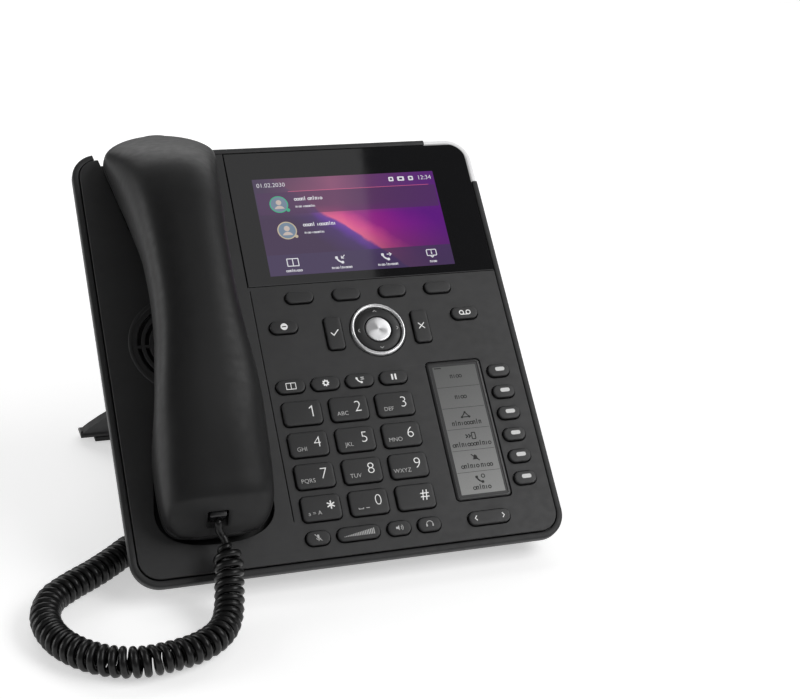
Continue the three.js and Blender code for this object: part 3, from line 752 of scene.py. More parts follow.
def add_well_pan(name, well, top, hook):
    """The sunk floor of a well, with a filleted edge and the hook's opening; its near-black colour is painted
    shade.
    """
    outer = Form().prism(well_outline(well, PAN, top), WELL_FLOOR - PAN, -COVER_THICK - 0.02)
    rings = [at_height(well_outline(well, 0), 1)]
    for i in range(5):
        angle = i / 4 * math.pi / 2
        rings.append(at_height(well_outline(well, -WELL_FILLET * (1 - math.cos(angle))),
                               WELL_FLOOR + WELL_FILLET * (1 - math.sin(angle))))
    piece(carved(outer, [Form().loft(rings), hook]), name, [WELL_PAINTED_SHADE], "base")


REAR_FACE = -25.5  # the depth of the rear cover's flat back
REAR_WALL = 2.2
# The rear cover's deep part: its walls, the depth of its mouth, and how its lower wall leans.
TUB = {"left": 4.8, "right": 196, "top": 204, "corner": 12, "mouth": -3.4, "bottom": 2.4, "lean": 0.1176}
BAY = {"left": 70, "right": 178, "bottom": 35, "top": 75, "floor": -13}  # the connector bay
VENTS = {"u": 99.3, "v": 172, "count": 6, "pitch": 4.4, "width": 60, "height": 1.8}
JACK_W = -15.8
JACKS = [(84, 8.4, 8.4), (101, 8.4, 8.4), (122, 12.2, 9), (142, 12.2, 9), (162, 7.4, 7.4)]  # u, width, height


def bay_outline(grow, corner):
    return rounded(BAY["left"] - grow, BAY["right"] + grow, BAY["bottom"] - grow, BAY["top"] + grow,
                   corner, 6)


def tub_ring(inset, w, level):
    """The deep part's outline at depth w: its lower wall leans, and its rear corner is cut level."""
    lower_wall = TUB["bottom"] + (TUB["mouth"] - w) * TUB["lean"]
    table = (level - ORIGIN.z / MM - w * math.cos(TILT)) / math.sin(TILT)
    return at_height(rounded(TUB["left"] + inset, TUB["right"] - inset, max(lower_wall + inset, table),
                             TUB["top"] - inset, TUB["corner"] - inset, 14), w)


def add_rear_cover():
    mouth, back = TUB["mouth"], REAR_FACE
    rim = [(0.6, mouth), (0.6, -1.0), (0.72, -0.75), (1.0, -0.6), (2.5, -0.6), (2.95, -0.68),
           (3.3, -0.88), (3.52, -1.2), (3.6, -1.6), (3.6, -4.3), (3.45, -4.8), (3.1, -5.1), (2.6, -5.2)]
    rings = [tub_ring(REAR_WALL, back + REAR_WALL, 3.7), tub_ring(REAR_WALL, mouth, 3.7)]
    rings += [at_height(cover_outline(grow), w) for grow, w in rim]
    rings += [tub_ring(inset, w, 1.5) for inset, w in (
        (-0.9, -5.2), (-0.3, -5.35), (0, -5.8), (0, -20.4), (0, -20.9), (0, back + 1.6),
        (0.2, back + 0.8), (0.7, back + 0.25), (1.5, back))]
    body = Form().loft(rings)
    bay = Form().loft([at_height(bay_outline(grow, 3 + grow), w) for grow, w in (
        (0, BAY["floor"]), (0, back + 0.5), (0.8, back - 0.3), (0.8, back - 2))])
    lining = Form().prism(bay_outline(REAR_WALL, 4), BAY["floor"] + REAR_WALL, back + 1)
    ear = Form().prism(well_outline(EAR_WELL, PAN + SEAM), WELL_FLOOR - PAN - SEAM, 1)
    openings = [bay, ear, light_guide_form(0.3)]
    for u, width, height in JACKS:
        wide, tall = width / 2 + 0.4, height / 2 + 0.4
        openings.append(Form().prism(rounded(u - wide, u + wide, 72, 79, 0.3, 2), JACK_W - tall,
                                     JACK_W + tall))
    for i in range(VENTS["count"]):
        slit = centred(VENTS["u"], VENTS["v"] + VENTS["pitch"] * i, VENTS["width"], VENTS["height"], 0.85)
        openings.append(Form().prism(slit, back - 1, back + 4))
    joined = carved(body, [lining], "UNION")
    piece(carved(joined, openings, bevel=0.25), "rear_cover_shell", [REAR], "base",
          ["rear_cover"])


def light_guide_form(grow=0.0):
    """The band that wraps the case's upper right corner, swept round it."""
    profile = [(0.8, -5.0), (0.8, -1.0), (0.95, -0.7), (1.2, -0.6), (2.1, -0.6), (2.4, -0.7),
               (3.3, -1.7), (3.5, -2.2), (3.5, -5.0)]
    if grow:
        profile = [(0.3, -6), (0.3, 0.5), (4.5, 0.5), (4.5, -6)]
    low = face_box("status_light_guide")[0]
    corner_u, corner_v = COVER_WIDTH - COVER_CORNER, COVER_HEIGHT - COVER_CORNER
    stations = [((COVER_WIDTH, low.y - grow), (1, 0)), ((COVER_WIDTH, corner_v), (1, 0))]
    for i in range(1, 16):
        angle = i / 16 * math.pi / 2
        way = (math.cos(angle), math.sin(angle))
        stations.append(((corner_u + COVER_CORNER * way[0], corner_v + COVER_CORNER * way[1]), way))
    stations += [((corner_u, COVER_HEIGHT), (0, 1)), ((low.x - grow, COVER_HEIGHT), (0, 1))]
    return Form().loft([[(u + g * a, v + g * b, w) for g, w in profile] for (u, v), (a, b) in stations])


add_front_cover()
add_rear_cover()
piece(light_guide_form(), "light_guide", [GUIDE_PAINTED_GLOW], "base", ["status_light_guide"])


# ------------------------------------------------------------------ colour display
PANE_THICK = 2.9
SCREEN = {"u": 130.85, "v": 169.13, "width": 95.04, "height": 53.86}
SCREEN_LEFT = SCREEN["u"] - SCREEN["width"] / 2
SCREEN_BOTTOM = SCREEN["v"] - SCREEN["height"] / 2
PICTURE_HEIGHT = 0.03  # how far what the display shows stands on the pane
FOOTER_PLACES = (0.13, 0.385, 0.635, 0.885)  # the soft keys' labels across the display
LETTER_PITCH, WORD_GAP = 0.86, 0.6  # of pseudo letters, in their heights and in letters
NAVY, VIOLET, INDIGO = (0.045, 0.022, 0.065), (0.11, 0.032, 0.29), (0.10, 0.006, 0.185)
PINK, MAGENTA, PURPLE = (0.72, 0.12, 0.26), (0.28, 0.014, 0.20), (0.19, 0.008, 0.215)


def screen_point(x, y):
    """A place on the display, both from 0 to 1, x to the right and y down."""
    return SCREEN_LEFT + x * SCREEN["width"], SCREEN_BOTTOM + (1 - y) * SCREEN["height"]


def along(tree, start, end):
    """0 at `start` and 1 at `end`, straight across the display; both are screen points."""
    a, b = (FACE @ Vector((*screen_point(*p), 0)) for p in (start, end))
    way = (b - a) / (b - a).length_squared
    return measured(tree, way, a.dot(way))


def wavering(tree, value, scale, amount):
    """A value disturbed by noise, for a soft broken edge."""
    part = tree.nodes.new("ShaderNodeMath")
    part.operation = "MULTIPLY_ADD"
    part.inputs[1].default_value = amount
    tree.links.new(noise(tree, scale, 4), part.inputs[0])
    tree.links.new(value, part.inputs[2])
    return part.outputs[0]


def wallpaper(name, veil=(0, 0, 0), share=0.0, strength=1.0):
    """The display's picture: a lit ridge between a dark valley and a violet sky, under a veil."""
    material, tree, shader = shader_of(name, (0.004, 0.004, 0.005), 0.05, Emission_Strength=strength)
    across = wavering(tree, along(tree, (0.276, 0.572), (0.60, -0.09)), 90, 0.12)
    sky = ramp(tree, across, [
        (0.0, NAVY), (0.2, (0.06, 0.025, 0.13)), (0.27, VIOLET), (0.31, (0.15, 0.045, 0.30)),
        (0.335, PINK), (0.44, (0.55, 0.06, 0.24)), (0.56, MAGENTA), (0.8, PURPLE), (1.0, INDIGO)])
    down = along(tree, (0.5, 0.0), (0.5, 1.0))
    haze = ramp(tree, along(tree, (0.0, 0), (1.0, 0)), [
        (0.0, (0.06, 0.05, 0.09)), (0.42, (0.24, 0.08, 0.155)), (0.62, (0.12, 0.04, 0.11)),
        (1.0, (0.075, 0.035, 0.12))])
    sky = mixed(tree, ramp(tree, down, [(0.0, 0.95), (0.3, 0.85), (0.42, 0.0)]), sky, haze)
    right = ramp(tree, along(tree, (0.5, 0), (1.0, 0)), [(0.1, 0.0), (1.0, 0.7)])
    sky = mixed(tree, right, sky, INDIGO)
    left = ramp(tree, along(tree, (0.0, 0), (0.45, 0)), [(0.1, 0.6), (1.0, 0.0)])
    sky = mixed(tree, left, sky, NAVY)
    scene_colour = mixed(tree, ramp(tree, down, [(0.55, 0.0), (0.95, 0.7)]), sky, NAVY)
    scene_colour = mixed(tree, share, scene_colour, veil)
    tree.links.new(scene_colour, shader.inputs["Emission Color"])
    bumped(tree, shader, noise(tree, 25, 1), 0.000004)
    return material


def lit(name, colour, strength=1.0):
    """A plain lit shape on the display, under the pane's gloss, a little uneven."""
    material, tree, shader = shader_of(name, (0.004, 0.004, 0.005), 0.05, Emission_Strength=strength)
    mottled(tree, shader.inputs["Emission Color"], noise(tree, 300, 2), scaled(colour, 0.93), colour)
    return material


def bar(form, x, y, width, height, mark, low=0.0, rounding=0.35):
    """A rounded bar on the display, centred at (x, y), in millimetres wide and high."""
    u, v = screen_point(x, y)
    radius = min(width, height) / 2 * rounding
    form.prism(centred(u, v, width, height, radius, 3), low - 0.01, low + PICTURE_HEIGHT, mark)


def pseudo_word(pen, left, letters, size):
    """A word that reads as none: a row of stems, arches and rings, `size` the height of a small one."""
    foot, width = -size / 2, size * 0.25
    for i in range(letters):
        u = left + i * size * LETTER_PITCH
        kind = (i * 5 + letters * 3) % 7
        if kind in (0, 3):
            pen.line([(u, foot), (u, foot + size * (1.5 if kind == 0 else 1))], width)
        elif kind in (1, 4, 6):
            pen.line(circle(u + size * 0.1, 0, size * 0.4, 10), width, closed=True)
        else:
            near, far, top = u - size * 0.22, u + size * 0.28, foot + size * 0.92
            pen.line([(near, foot), (near, top), (far, top), (far, foot)], width)


def greeked(pen, words, size, centre=False):
    """A line of pseudo words, from the pen on or about it; `words` are their letter counts."""
    pitch = size * LETTER_PITCH
    total = pitch * (sum(words) + WORD_GAP * (len(words) - 1))
    left = -total / 2 if centre else 0
    for letters in words:
        pseudo_word(pen, left + size * 0.3, letters, size)
        left += pitch * (letters + WORD_GAP)


def figure(pen, size, ring, ground, body):
    """A round picture with a plain head and shoulders."""
    pen.toned(ring).fill(circle(0, 0, size, 40))
    pen.toned(ground, PICTURE_HEIGHT).fill(circle(0, 0, size * 0.88, 40))
    upper = pen.toned(body, 2 * PICTURE_HEIGHT)
    upper.fill(circle(0, size * 0.22, size * 0.3, 28))
    upper.fill(arc(0, -size * 0.72, size * 0.56, 20, 160, 20))


def receiver_icon(pen, x, y, size):
    """A telephone receiver lying on a slant: a curved grip with two blunt ends."""
    grip = arc(x + size * 0.42, y + size * 0.42, size * 0.72, 190, 260, 10)
    pen.line(grip, size * 0.17)
    for end in (grip[0], grip[-1]):
        pen.fill(centred(*end, size * 0.3, size * 0.3, size * 0.08, 3))


def arrow(pen, start, end, width=0.4, head=0.9):
    tip = Vector(end)
    way = (tip - Vector(start)).normalized()
    side = Vector((-way.y, way.x))
    pen.line([start, end], width)
    pen.line([tip - way * head + side * head, tip, tip - way * head - side * head], width)


def book_icon(pen, width, height, line):
    for left in (-width / 2, 0):
        page = rounded(left, left + width / 2, -height / 2, height / 2, 0.15, 2)
        pen.line(page, line, closed=True)


def screen_icons(pen):
    """The four icons over the soft keys: book, received call, forwarded call, note."""
    book, received, forwarded, note = (pen.at(*screen_point(x, 0.872)) for x in FOOTER_PLACES)
    book_icon(book, 5.6, 4.0, 0.45)
    receiver_icon(received, -0.6, -0.4, 4.6)
    arrow(received, (2.4, 2.2), (0.6, 0.5))
    receiver_icon(forwarded, -0.6, -0.4, 4.6)
    arrow(forwarded, (0.3, 1.0), (2.6, 1.0))
    note.line(rounded(-2.5, 2.5, -1.3, 2.0, 0.4, 3), 0.45, closed=True)
    note.line([(-0.9, -1.5), (0, -2.3), (0.9, -1.5)], 0.45)
    note.fill(centred(0, 0.1, 0.5, 1.4, 0.1, 2))
    note.fill(circle(0, 1.3, 0.3, 12))


def screen_outline():
    return centred(SCREEN["u"], SCREEN["v"], SCREEN["width"], SCREEN["height"], 0.3, 2)


def add_pane():
    low = face_box("display_window")[0]
    corner = [p for p in cover_outline() if p[0] > COVER_WIDTH / 2 and p[1] > COVER_HEIGHT / 2]
    outline = [(COVER_WIDTH, low.y), *corner, (low.x, COVER_HEIGHT), (low.x, low.y)]
    edge = 0.35
    inner = [(max(low.x + edge, min(COVER_WIDTH - edge, u)), max(low.y + edge, min(COVER_HEIGHT - edge, v)))
             for u, v in outline]
    body = Form().loft([at_height(outline, -PANE_THICK), at_height(outline, -edge), at_height(inner, 0)])
    picture = Form().prism(screen_outline(), -1, 1)
    piece(carved(body, [picture]), "display_pane", [GLASS], "base", ["display_window"],
          flat=True)


def add_picture():
    """What the display shows: status line, two contacts and four soft-key labels on a wallpaper."""
    materials = [wallpaper("display_picture"),
                 wallpaper("display_row", (0.066, 0.026, 0.085), 0.66),
                 wallpaper("display_footer", (0.048, 0.030, 0.085), 0.82),
                 lit("display_white", (0.72, 0.72, 0.76)),
                 lit("display_pink", (0.62, 0.12, 0.24)),
                 lit("portrait_ring", (0.05, 0.38, 0.22)),
                 lit("portrait_ground", (0.16, 0.22, 0.30)),
                 lit("portrait_figure", (0.52, 0.44, 0.40)),
                 lit("portrait_warm", (0.50, 0.42, 0.30))]
    row, footer, white, pink, green, ground, skin, warm = range(1, 9)
    width, height = SCREEN["width"], SCREEN["height"]
    form = Form().prism(screen_outline(), -PANE_THICK, 0)
    on_pane = Pen(form, 0, PICTURE_HEIGHT, white)
    on_row = Pen(form, PICTURE_HEIGHT, 2 * PICTURE_HEIGHT, white)
    bar(form, 0.5, 0.262, width * 0.985, height * 0.23, row, 0, 0.08)
    bar(form, 0.5, 0.895, width, height * 0.21, footer, 0, 0.01)
    bar(form, 0.57, 0.142, width * 0.78, 0.22, pink)
    on_pane.at(*screen_point(0.095, 0.068)).write("01.02.2030", 0, 0, 3.3, 0.03)
    for x, wide in ((0.757, 2.6), (0.812, 3.6), (0.868, 2.6)):
        bar(form, x, 0.066, wide, 2.5, white)
        bar(form, x, 0.066, wide * 0.45, 1.1, footer, PICTURE_HEIGHT)
    on_pane.at(*screen_point(0.945, 0.066)).write("12:34", 0, 0, 3.4, 0.02)
    figure(on_row.at(*screen_point(0.118, 0.272)), 4.7, green, ground, skin)
    figure(on_pane.at(*screen_point(0.134, 0.545)), 4.9, warm, ground, skin)
    on_row.at(*screen_point(0.162, 0.335)).toned(green, 3 * PICTURE_HEIGHT).fill(circle(0, 0, 0.95, 16))
    on_pane.at(*screen_point(0.178, 0.61)).toned(warm, 3 * PICTURE_HEIGHT).fill(circle(0, 0, 0.85, 16))
    for pen, x, y, words, size in ((on_row, 0.205, 0.228, (5, 6), 1.45), (on_row, 0.205, 0.305, (4, 8), 0.95),
                                   (on_pane, 0.225, 0.5, (5, 8), 1.45), (on_pane, 0.225, 0.58, (4, 8), 0.95)):
        greeked(pen.at(*screen_point(x, y)), words, size)
    for x, words in zip(FOOTER_PLACES, ((9,), (4, 7), (4, 7), (4,))):
        greeked(on_row.at(*screen_point(x, 0.958)), words, 1.05, centre=True)
    screen_icons(on_row)
    piece(form, "display_picture", materials, "base")


# ------------------------------------------------------------------ line-key display
LABEL_ROWS = 6
LABEL_FRAME = 1.6


def label_icon(pen, row):
    """The small picture of a row; the first two rows have none."""
    if row == 2:
        corners = [(-1.9, -1.1), (0, 1.3), (1.9, -1.1)]
        pen.line(corners, 0.5, closed=True)
        for corner in corners:
            pen.fill(circle(*corner, 0.55, 12))
    elif row == 3:
        for left in (-2.3, -0.9):
            pen.line([(left, -0.9), (left + 1, 0), (left, 0.9)], 0.6)
        pen.line(centred(1.7, 0, 1.8, 3.2, 0.3, 2), 0.5, closed=True)
    elif row == 4:
        pen.fill([(-1.5, -1.0), (-1.0, -0.3), (-0.9, 0.7), (0, 1.5), (0.9, 0.7), (1.0, -0.3), (1.5, -1.0)])
        pen.line([(-1.9, 1.7), (1.9, -1.7)], 0.5)
    elif row == 5:
        receiver_icon(pen, -0.4, -0.2, 4.4)
        pen.line(circle(1.6, 1.4, 0.85, 14), 0.42, closed=True)


def add_label_bezel(u, v, width, height, pane_top):
    """A flat frame, its outer edge well rounded, that steps down to the pane inside it."""
    rings = []
    for inset, w in ((0, -2.4), (0, -0.6), (0.2, -0.15), (0.7, 0.1), (LABEL_FRAME - 0.3, 0.1),
                     (LABEL_FRAME, pane_top - 0.1), (LABEL_FRAME, -2.4)):
        rings.append(at_height(centred(u, v, width - 2 * inset, height - 2 * inset,
                                       max(0.4, LABEL_CORNER - inset), 8), w))
    form = Form().loft(rings, closed=True)
    inside = 2 * LABEL_FRAME - 0.1
    form.prism(centred(u, v, width - inside, height - inside, 0.5, 4), -2.3, pane_top - 0.05)
    piece(form, "label_bezel", [BEZEL], "base", ["label_window"])


def add_label_picture(u, v, width, height, base):
    """The grey display's rows, each with its pseudo words and some with an icon."""
    form = Form().prism(centred(u, v, width, height, 0.15, 2), base, base + 0.04)
    pen = Pen(form, base + 0.03, base + 0.07, 1)
    pitch = height / LABEL_ROWS
    top = v + height / 2
    for row in range(1, LABEL_ROWS):
        pen.fill(centred(u, top - row * pitch, width - 0.6, 0.16, 0.05, 1))
    pen.fill(centred(u - width / 2 + 2.6, top - 0.75, 3.6, 0.55, 0.1, 1))
    for row, words in enumerate(((4,), (4,), (10,), (13,), (6, 4), (6,))):
        middle = top - (row + 0.5) * pitch
        has_icon = row > 1
        greeked(pen.at(u, middle - (2.7 if has_icon else 0)), words, 1.75, centre=True)
        if has_icon:
            label_icon(pen.at(u, middle + 1.6), row)
    piece(form, "label_picture", [lcd_painted_reflection(top, height), INK], "base")


def lcd_painted_reflection(top, height):
    """A reflective display with its faint dot rows, paler towards its lower end: the paling is a painted
    reflection.
    """
    material, tree, shader = shader_of("label_lcd", (0.12, 0.125, 0.125), 0.22)
    down = -(FACE.to_3x3() @ Vector((0, 1, 0))).normalized() / (height * MM)
    # The grey pales downwards: a painted reflection of light on the display.
    tone = ramp(tree, measured(tree, down, (FACE @ Vector((0, top, 0))).dot(down)), [
        (0.0, (0.14, 0.142, 0.14)), (0.5, (0.22, 0.222, 0.22)), (1.0, (0.36, 0.362, 0.356))])
    dots = ramp(tree, noise(tree, 2600, 1), [(0.3, 0.93), (0.7, 1.0)])
    tree.links.new(mixed(tree, 1.0, tone, dots, "MULTIPLY"), shader.inputs["Base Color"])
    return material


def add_label_display():
    low, high = face_box("label_window")
    u, v = face_middle("label_window")
    width, height = high.x - low.x, high.y - low.y
    add_label_bezel(u, v, width, height, high.z)
    add_label_picture(u + 0.25, v, width - 5.6, height - 5.4, high.z - 0.06)


add_pane()
add_picture()
add_label_display()


# ------------------------------------------------------------------ keys
KEY_TOP = 1.5
KEY_FOOT = -3.9
KEY_EDGE = 0.5
INK_HEIGHT = 0.035


# The last, for the key's side walls, is a darker copy of the key plastic: painted shade.
PALE, DIM, DARK, LAMP, PAINTED_SHADE_SIDE = range(1, 6)  # the materials of a key, after that of its cap


def key_cap(form, u, v, width, height, radius):
    """A cap with a rounded upper edge and a faintly crowned top, its straight sides in painted shade."""
    def outline(inset):
        return centred(u, v, width - 2 * inset, height - 2 * inset, radius - inset)

    # The straight sides take the darker key plastic: painted shade on the walls.
    form.prism(outline(0), KEY_FOOT, KEY_TOP - KEY_EDGE - 0.05, PAINTED_SHADE_SIDE)
    rings = []
    steps = 5
    for i in range(steps + 1):
        angle = i / steps * math.pi / 2
        rings.append(at_height(outline(KEY_EDGE * (1 - math.cos(angle))),
                               KEY_TOP - KEY_EDGE * (1 - math.sin(angle)) - 0.04))
    rings.append(at_height(outline(min(radius - 0.1, 1.3)), KEY_TOP))
    form.loft(rings)


def draw_dial(pen, digit, letters):
    if digit == "1":
        pen.line([(3.4, 1.9), (4.8, 2.9), (4.8, -2.3)], 0.5)
    else:
        pen.write(digit, 4.2, 0.4, 7.8, 0.14)
    pen.toned(DIM).write(letters, -3.6, -2.4, 2.9, 0.03)


def draw_star(pen):
    for k in range(3):
        x, y = 2 * math.sin(k * math.pi / 3), 2 * math.cos(k * math.pi / 3)
        pen.line([(4.6 - x, 0.9 - y), (4.6 + x, 0.9 + y)], 0.6)
    pen.toned(DIM).write("a = A", -3.4, -2.4, 2.9, 0.03)


def draw_zero(pen):
    pen.write("0", 4.5, 0.4, 7.6, 0.16)
    dim = pen.toned(DIM)
    dim.line([(-5.4, -2.3), (-5.4, -2.9), (-3.2, -2.9), (-3.2, -2.3)], 0.3)
    dim.line([(-1.9, -2.6), (-0.2, -2.6)], 0.3)


def draw_hash(pen):
    for offset in (-0.85, 0.85):
        pen.line([(4.05 + offset, -2.2), (4.75 + offset, 2.8)], 0.5)
        pen.toned(PALE, INK_HEIGHT).line([(2.3, 0.3 + offset), (6.5, 0.3 + offset)], 0.5)


def draw_confirm(pen):
    pen.line([(-1.9, 0.1), (-0.6, -1.4), (2.0, 1.5)], 0.5)


def draw_cancel(pen):
    for side in (-1, 1):
        pen.line([(-1.5 * side, -1.5), (1.5 * side, 1.5)], 0.45)


def draw_no_disturb(pen):
    pen.fill(circle(0, 0, 1.75, 28))
    pen.toned(DARK, INK_HEIGHT).fill(centred(0, 0, 2.1, 0.55, 0.1, 2))


def draw_message(pen):
    for side in (-1, 1):
        pen.line(circle(1.75 * side, 0, 1.05, 20), 0.5, closed=True)
    pen.line([(-1.75, -1.05), (1.75, -1.05)], 0.5)


def draw_directory(pen):
    book_icon(pen, 4.6, 3.1, 0.36)


def draw_settings(pen):
    teeth = []
    for i in range(48):
        radius = 1.75 if i % 6 < 3 else 1.35
        angle = i / 48 * 2 * math.pi
        teeth.append((radius * math.cos(angle), radius * math.sin(angle)))
    pen.fill(teeth)
    pen.toned(DARK, INK_HEIGHT).fill(circle(0, 0, 0.65, 18))


def draw_transfer(pen):
    receiver_icon(pen, -0.5, -0.2, 3.6)
    for y in (0.3, 1.2):
        pen.line([(0.4, y), (2.0, y)], 0.3)


def draw_hold(pen):
    for side in (-1, 1):
        pen.fill(centred(0.85 * side, 0, 0.85, 3.0, 0.1, 2))


def draw_mute(pen):
    dim = pen.toned(DIM)
    dim.fill(centred(0, 0.5, 1.0, 2.0, 0.49, 5))
    dim.line(arc(0, 0.2, 1.1, 200, 340, 10), 0.25)
    dim.line([(0, -0.9), (0, -1.6)], 0.25)
    dim.line([(-1.5, 1.7), (1.5, -1.5)], 0.3)


def draw_volume(pen):
    dim = pen.toned(DIM)
    count = 18
    for i in range(count):
        left = -7.2 + 0.83 * i
        dim.fill(rounded(left, left + 0.42, -1.3, -1.05 + 2.6 * i / (count - 1), 0.08, 1))


def draw_speaker(pen):
    dim = pen.toned(DIM)
    dim.fill([(-1.7, -0.5), (-0.9, -0.5), (-0.1, -1.2), (-0.1, 1.2), (-0.9, 0.5), (-1.7, 0.5)])
    for radius in (0.9, 1.6):
        dim.line(arc(0.1, 0, radius, -50, 50, 8), 0.28)


def draw_headset(pen):
    dim = pen.toned(DIM)
    dim.line(arc(0, 0, 1.5, -40, 220, 20), 0.3)
    for side in (-1, 1):
        dim.fill(centred(1.5 * side, -0.5, 0.7, 1.3, 0.2, 2))


def draw_pages(pen):
    for side in (-1, 1):
        pen.line([(6.3 * side, -1.2), (7.3 * side, 0), (6.3 * side, 1.2)], 0.38)


def draw_line_light(pen):
    pen.toned(LAMP, INK_HEIGHT).fill(centred(0.6, 0.5, 4.8, 2.0, 0.9, 6))


LEGENDS = {
    "confirm_key": draw_confirm, "cancel_key": draw_cancel, "do_not_disturb_key": draw_no_disturb,
    "message_key": draw_message, "directory_key": draw_directory, "settings_key": draw_settings,
    "transfer_key": draw_transfer, "hold_key": draw_hold, "key_star": draw_star, "key_0": draw_zero,
    "key_hash": draw_hash, "mute_key": draw_mute, "volume_rocker": draw_volume,
    "speaker_key": draw_speaker, "headset_key": draw_headset, "page_rocker": draw_pages}
DIAL_LETTERS = {"1": "", "2": "ABC", "3": "DEF", "4": "GHI", "5": "JKL", "6": "MNO", "7": "PQRS",
                "8": "TUV", "9": "WXYZ"}


def add_key(node):
    u, v, width, height, radius = key_size(node)
    form = Form()
    key_cap(form, u, v, width, height, radius)
    pen = Pen(form, KEY_TOP - 0.06, KEY_TOP + INK_HEIGHT, PALE, u, v)
    digit = node.removeprefix("key_")
    if node in LEGENDS:
        LEGENDS[node](pen)
    elif digit in DIAL_LETTERS:
        draw_dial(pen, digit, DIAL_LETTERS[digit])
    elif node.startswith("line_key"):
        draw_line_light(pen)
    piece(form, node + "_cap", [KEY, LEGEND, LEGEND_DIM, INK, LIT, KEY_WALL_PAINTED_SHADE], node, [node])


for key in PLAIN_KEYS:
    add_key(key)


# ------------------------------------------------------------------ navigation key
def add_navigation():
    u, v = face_middle("nav_chrome_ring")
    outer = half_width("nav_chrome_ring")
    ring = [(outer - 1.8, -3), (outer, -3), (outer, 0.7), (outer - 0.12, 1.05), (outer - 0.4, 1.4),
            (outer - 0.8, 1.58), (outer - 1.15, 1.5), (outer - 1.5, 1.2), (outer - 1.75, 0.7),
            (outer - 1.8, 0.2)]
    form = Form().loft(turned(ring, u, v), closed=True)
    piece(form, "nav_ring_trim", [CHROME], "nav_ring", ["nav_chrome_ring"], angle=60)

    outer = half_width("nav_key")
    disc = [(6.8, -4.1), (outer, -4.1), (outer, 0.3), (outer - 0.15, 0.55), (outer - 0.5, 0.7),
            (9.4, 0.92), (7.4, 1.05), (7.0, 1.0), (6.8, 0.8)]
    form = Form().loft(turned(disc, u, v), closed=True)
    pen = Pen(form, 0.7, 0.93, 1, u, v)
    for x, y in ((1, 0), (0, 1), (-1, 0), (0, -1)):
        pen.line([(9.3 * x - 0.9 * y, 9.3 * y + 0.9 * x), (10.1 * x, 10.1 * y),
                  (9.3 * x + 0.9 * y, 9.3 * y - 0.9 * x)], 0.28)
    piece(form, "nav_disc_cap", [NAV_GLOSS, LEGEND_DIM], "nav_disc", ["nav_key"], angle=60)

    outer = half_width("ok_key")
    cap = [(0.01, -4.1), (outer, -4.1), (outer, 0.95), (outer - 0.1, 1.15), (outer - 0.3, 1.26),
           (outer - 0.6, 1.3), (4, 1.4), (2, 1.46), (0.6, 1.48)]
    form = Form().loft(turned(cap, 0, 0))
    button = piece(form, "ok_cap", [SPUN], None, ["ok_key"], Matrix.Scale(MM, 4), angle=60)
    button.matrix_world = FACE @ Matrix.Translation((u, v, 0)) @ Matrix.Scale(1 / MM, 4)
    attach(button, "ok_key")


add_navigation()

# ------------------------------------------------------------------ handset
HANDSET_U = 36.9
ASKEW_PIVOT, ASKEW_SLOPE, LEAN = 190, 0.0075, 0.035  # the handset lies a little askew in its bay
HALF_WIDTH = smooth([
    (14.5, 12.5), (15.5, 17.6), (17.5, 20.8), (21, 23.2), (28, 24.8), (45, 25.3), (60, 24.6),
    (80, 22.5), (110, 19.3), (140, 19.2), (160, 20.8), (178, 22.6), (190, 24.4), (199, 26.2),
    (205, 26.6), (210.5, 24), (214.5, 18.8), (217.2, 12), (218.3, 6.5)])
UNDERSIDE = smooth([
    (14.5, 4), (17, 0.4), (20, -2.4), (24, -4), (30, -4), (52, -3.6), (60, 2), (70, 11), (82, 15.6),
    (110, 17), (138, 15.6), (152, 11), (164, 5.6), (176, 0.2), (185, -3.4), (193, -4), (205, -4),
    (211, -3), (215, -0.2), (218.3, 4.2)])
CREST = smooth([
    (14.5, 8), (17, 14), (20, 20), (23, 24.6), (26, 27.6), (36, 31), (60, 38.4), (85, 43),
    (110, 45), (140, 45), (160, 44), (172, 42.2), (185, 38.4), (195, 32.6), (204, 24.8),
    (211, 17.6), (215, 13.2), (218.3, 9)])
SQUARE_BELOW = smooth([(14.5, 0.48), (40, 0.48), (75, 0.58), (218.3, 0.6)])
SQUARE_ABOVE = smooth([(14.5, 0.6), (25, 0.64), (60, 0.7), (150, 0.7), (180, 0.76), (195, 0.86),
                       (218.3, 0.92)])
PARTING = smooth([(0, 7), (30, 7.6), (60, 9), (72, 15.5), (85, 21.4), (100, 22.4), (125, 22.4),
                  (140, 21.4), (152, 16), (165, 11), (195, 8.6), (225, 6.2)])
PARTING_GAP = 0.35
RECEIVER_V, MICROPHONE_V = 193, 40  # where the slots on the underside are
HANDSET_ENDS = 14.5, 218.3
SHELL_POINTS = 44


def handset_stations():
    """Where sections are taken along v: close together where the ends curve."""
    bottom, top = HANDSET_ENDS
    spans = ((bottom, 20, 0.25), (20, 36, 0.8), (36, 184, 3), (184, 208, 1.5), (208, top, 0.4))
    stations = []
    for start, end, step in spans:
        count = round((end - start) / step)
        stations += [start + (end - start) * i / count for i in range(count)]
    return [*stations, top]


def section_point(v, angle):
    """A point of the handset's section at v: a squarish ellipse, rounder above than below."""
    half, low, high = HALF_WIDTH(v), UNDERSIDE(v), CREST(v)
    cosine, sine = math.cos(angle), math.sin(angle)
    square = SQUARE_ABOVE(v) if sine > 0 else SQUARE_BELOW(v)
    return (half * math.copysign(abs(cosine) ** square, cosine),
            (low + high) / 2 + (high - low) / 2 * math.copysign(abs(sine) ** square, sine))


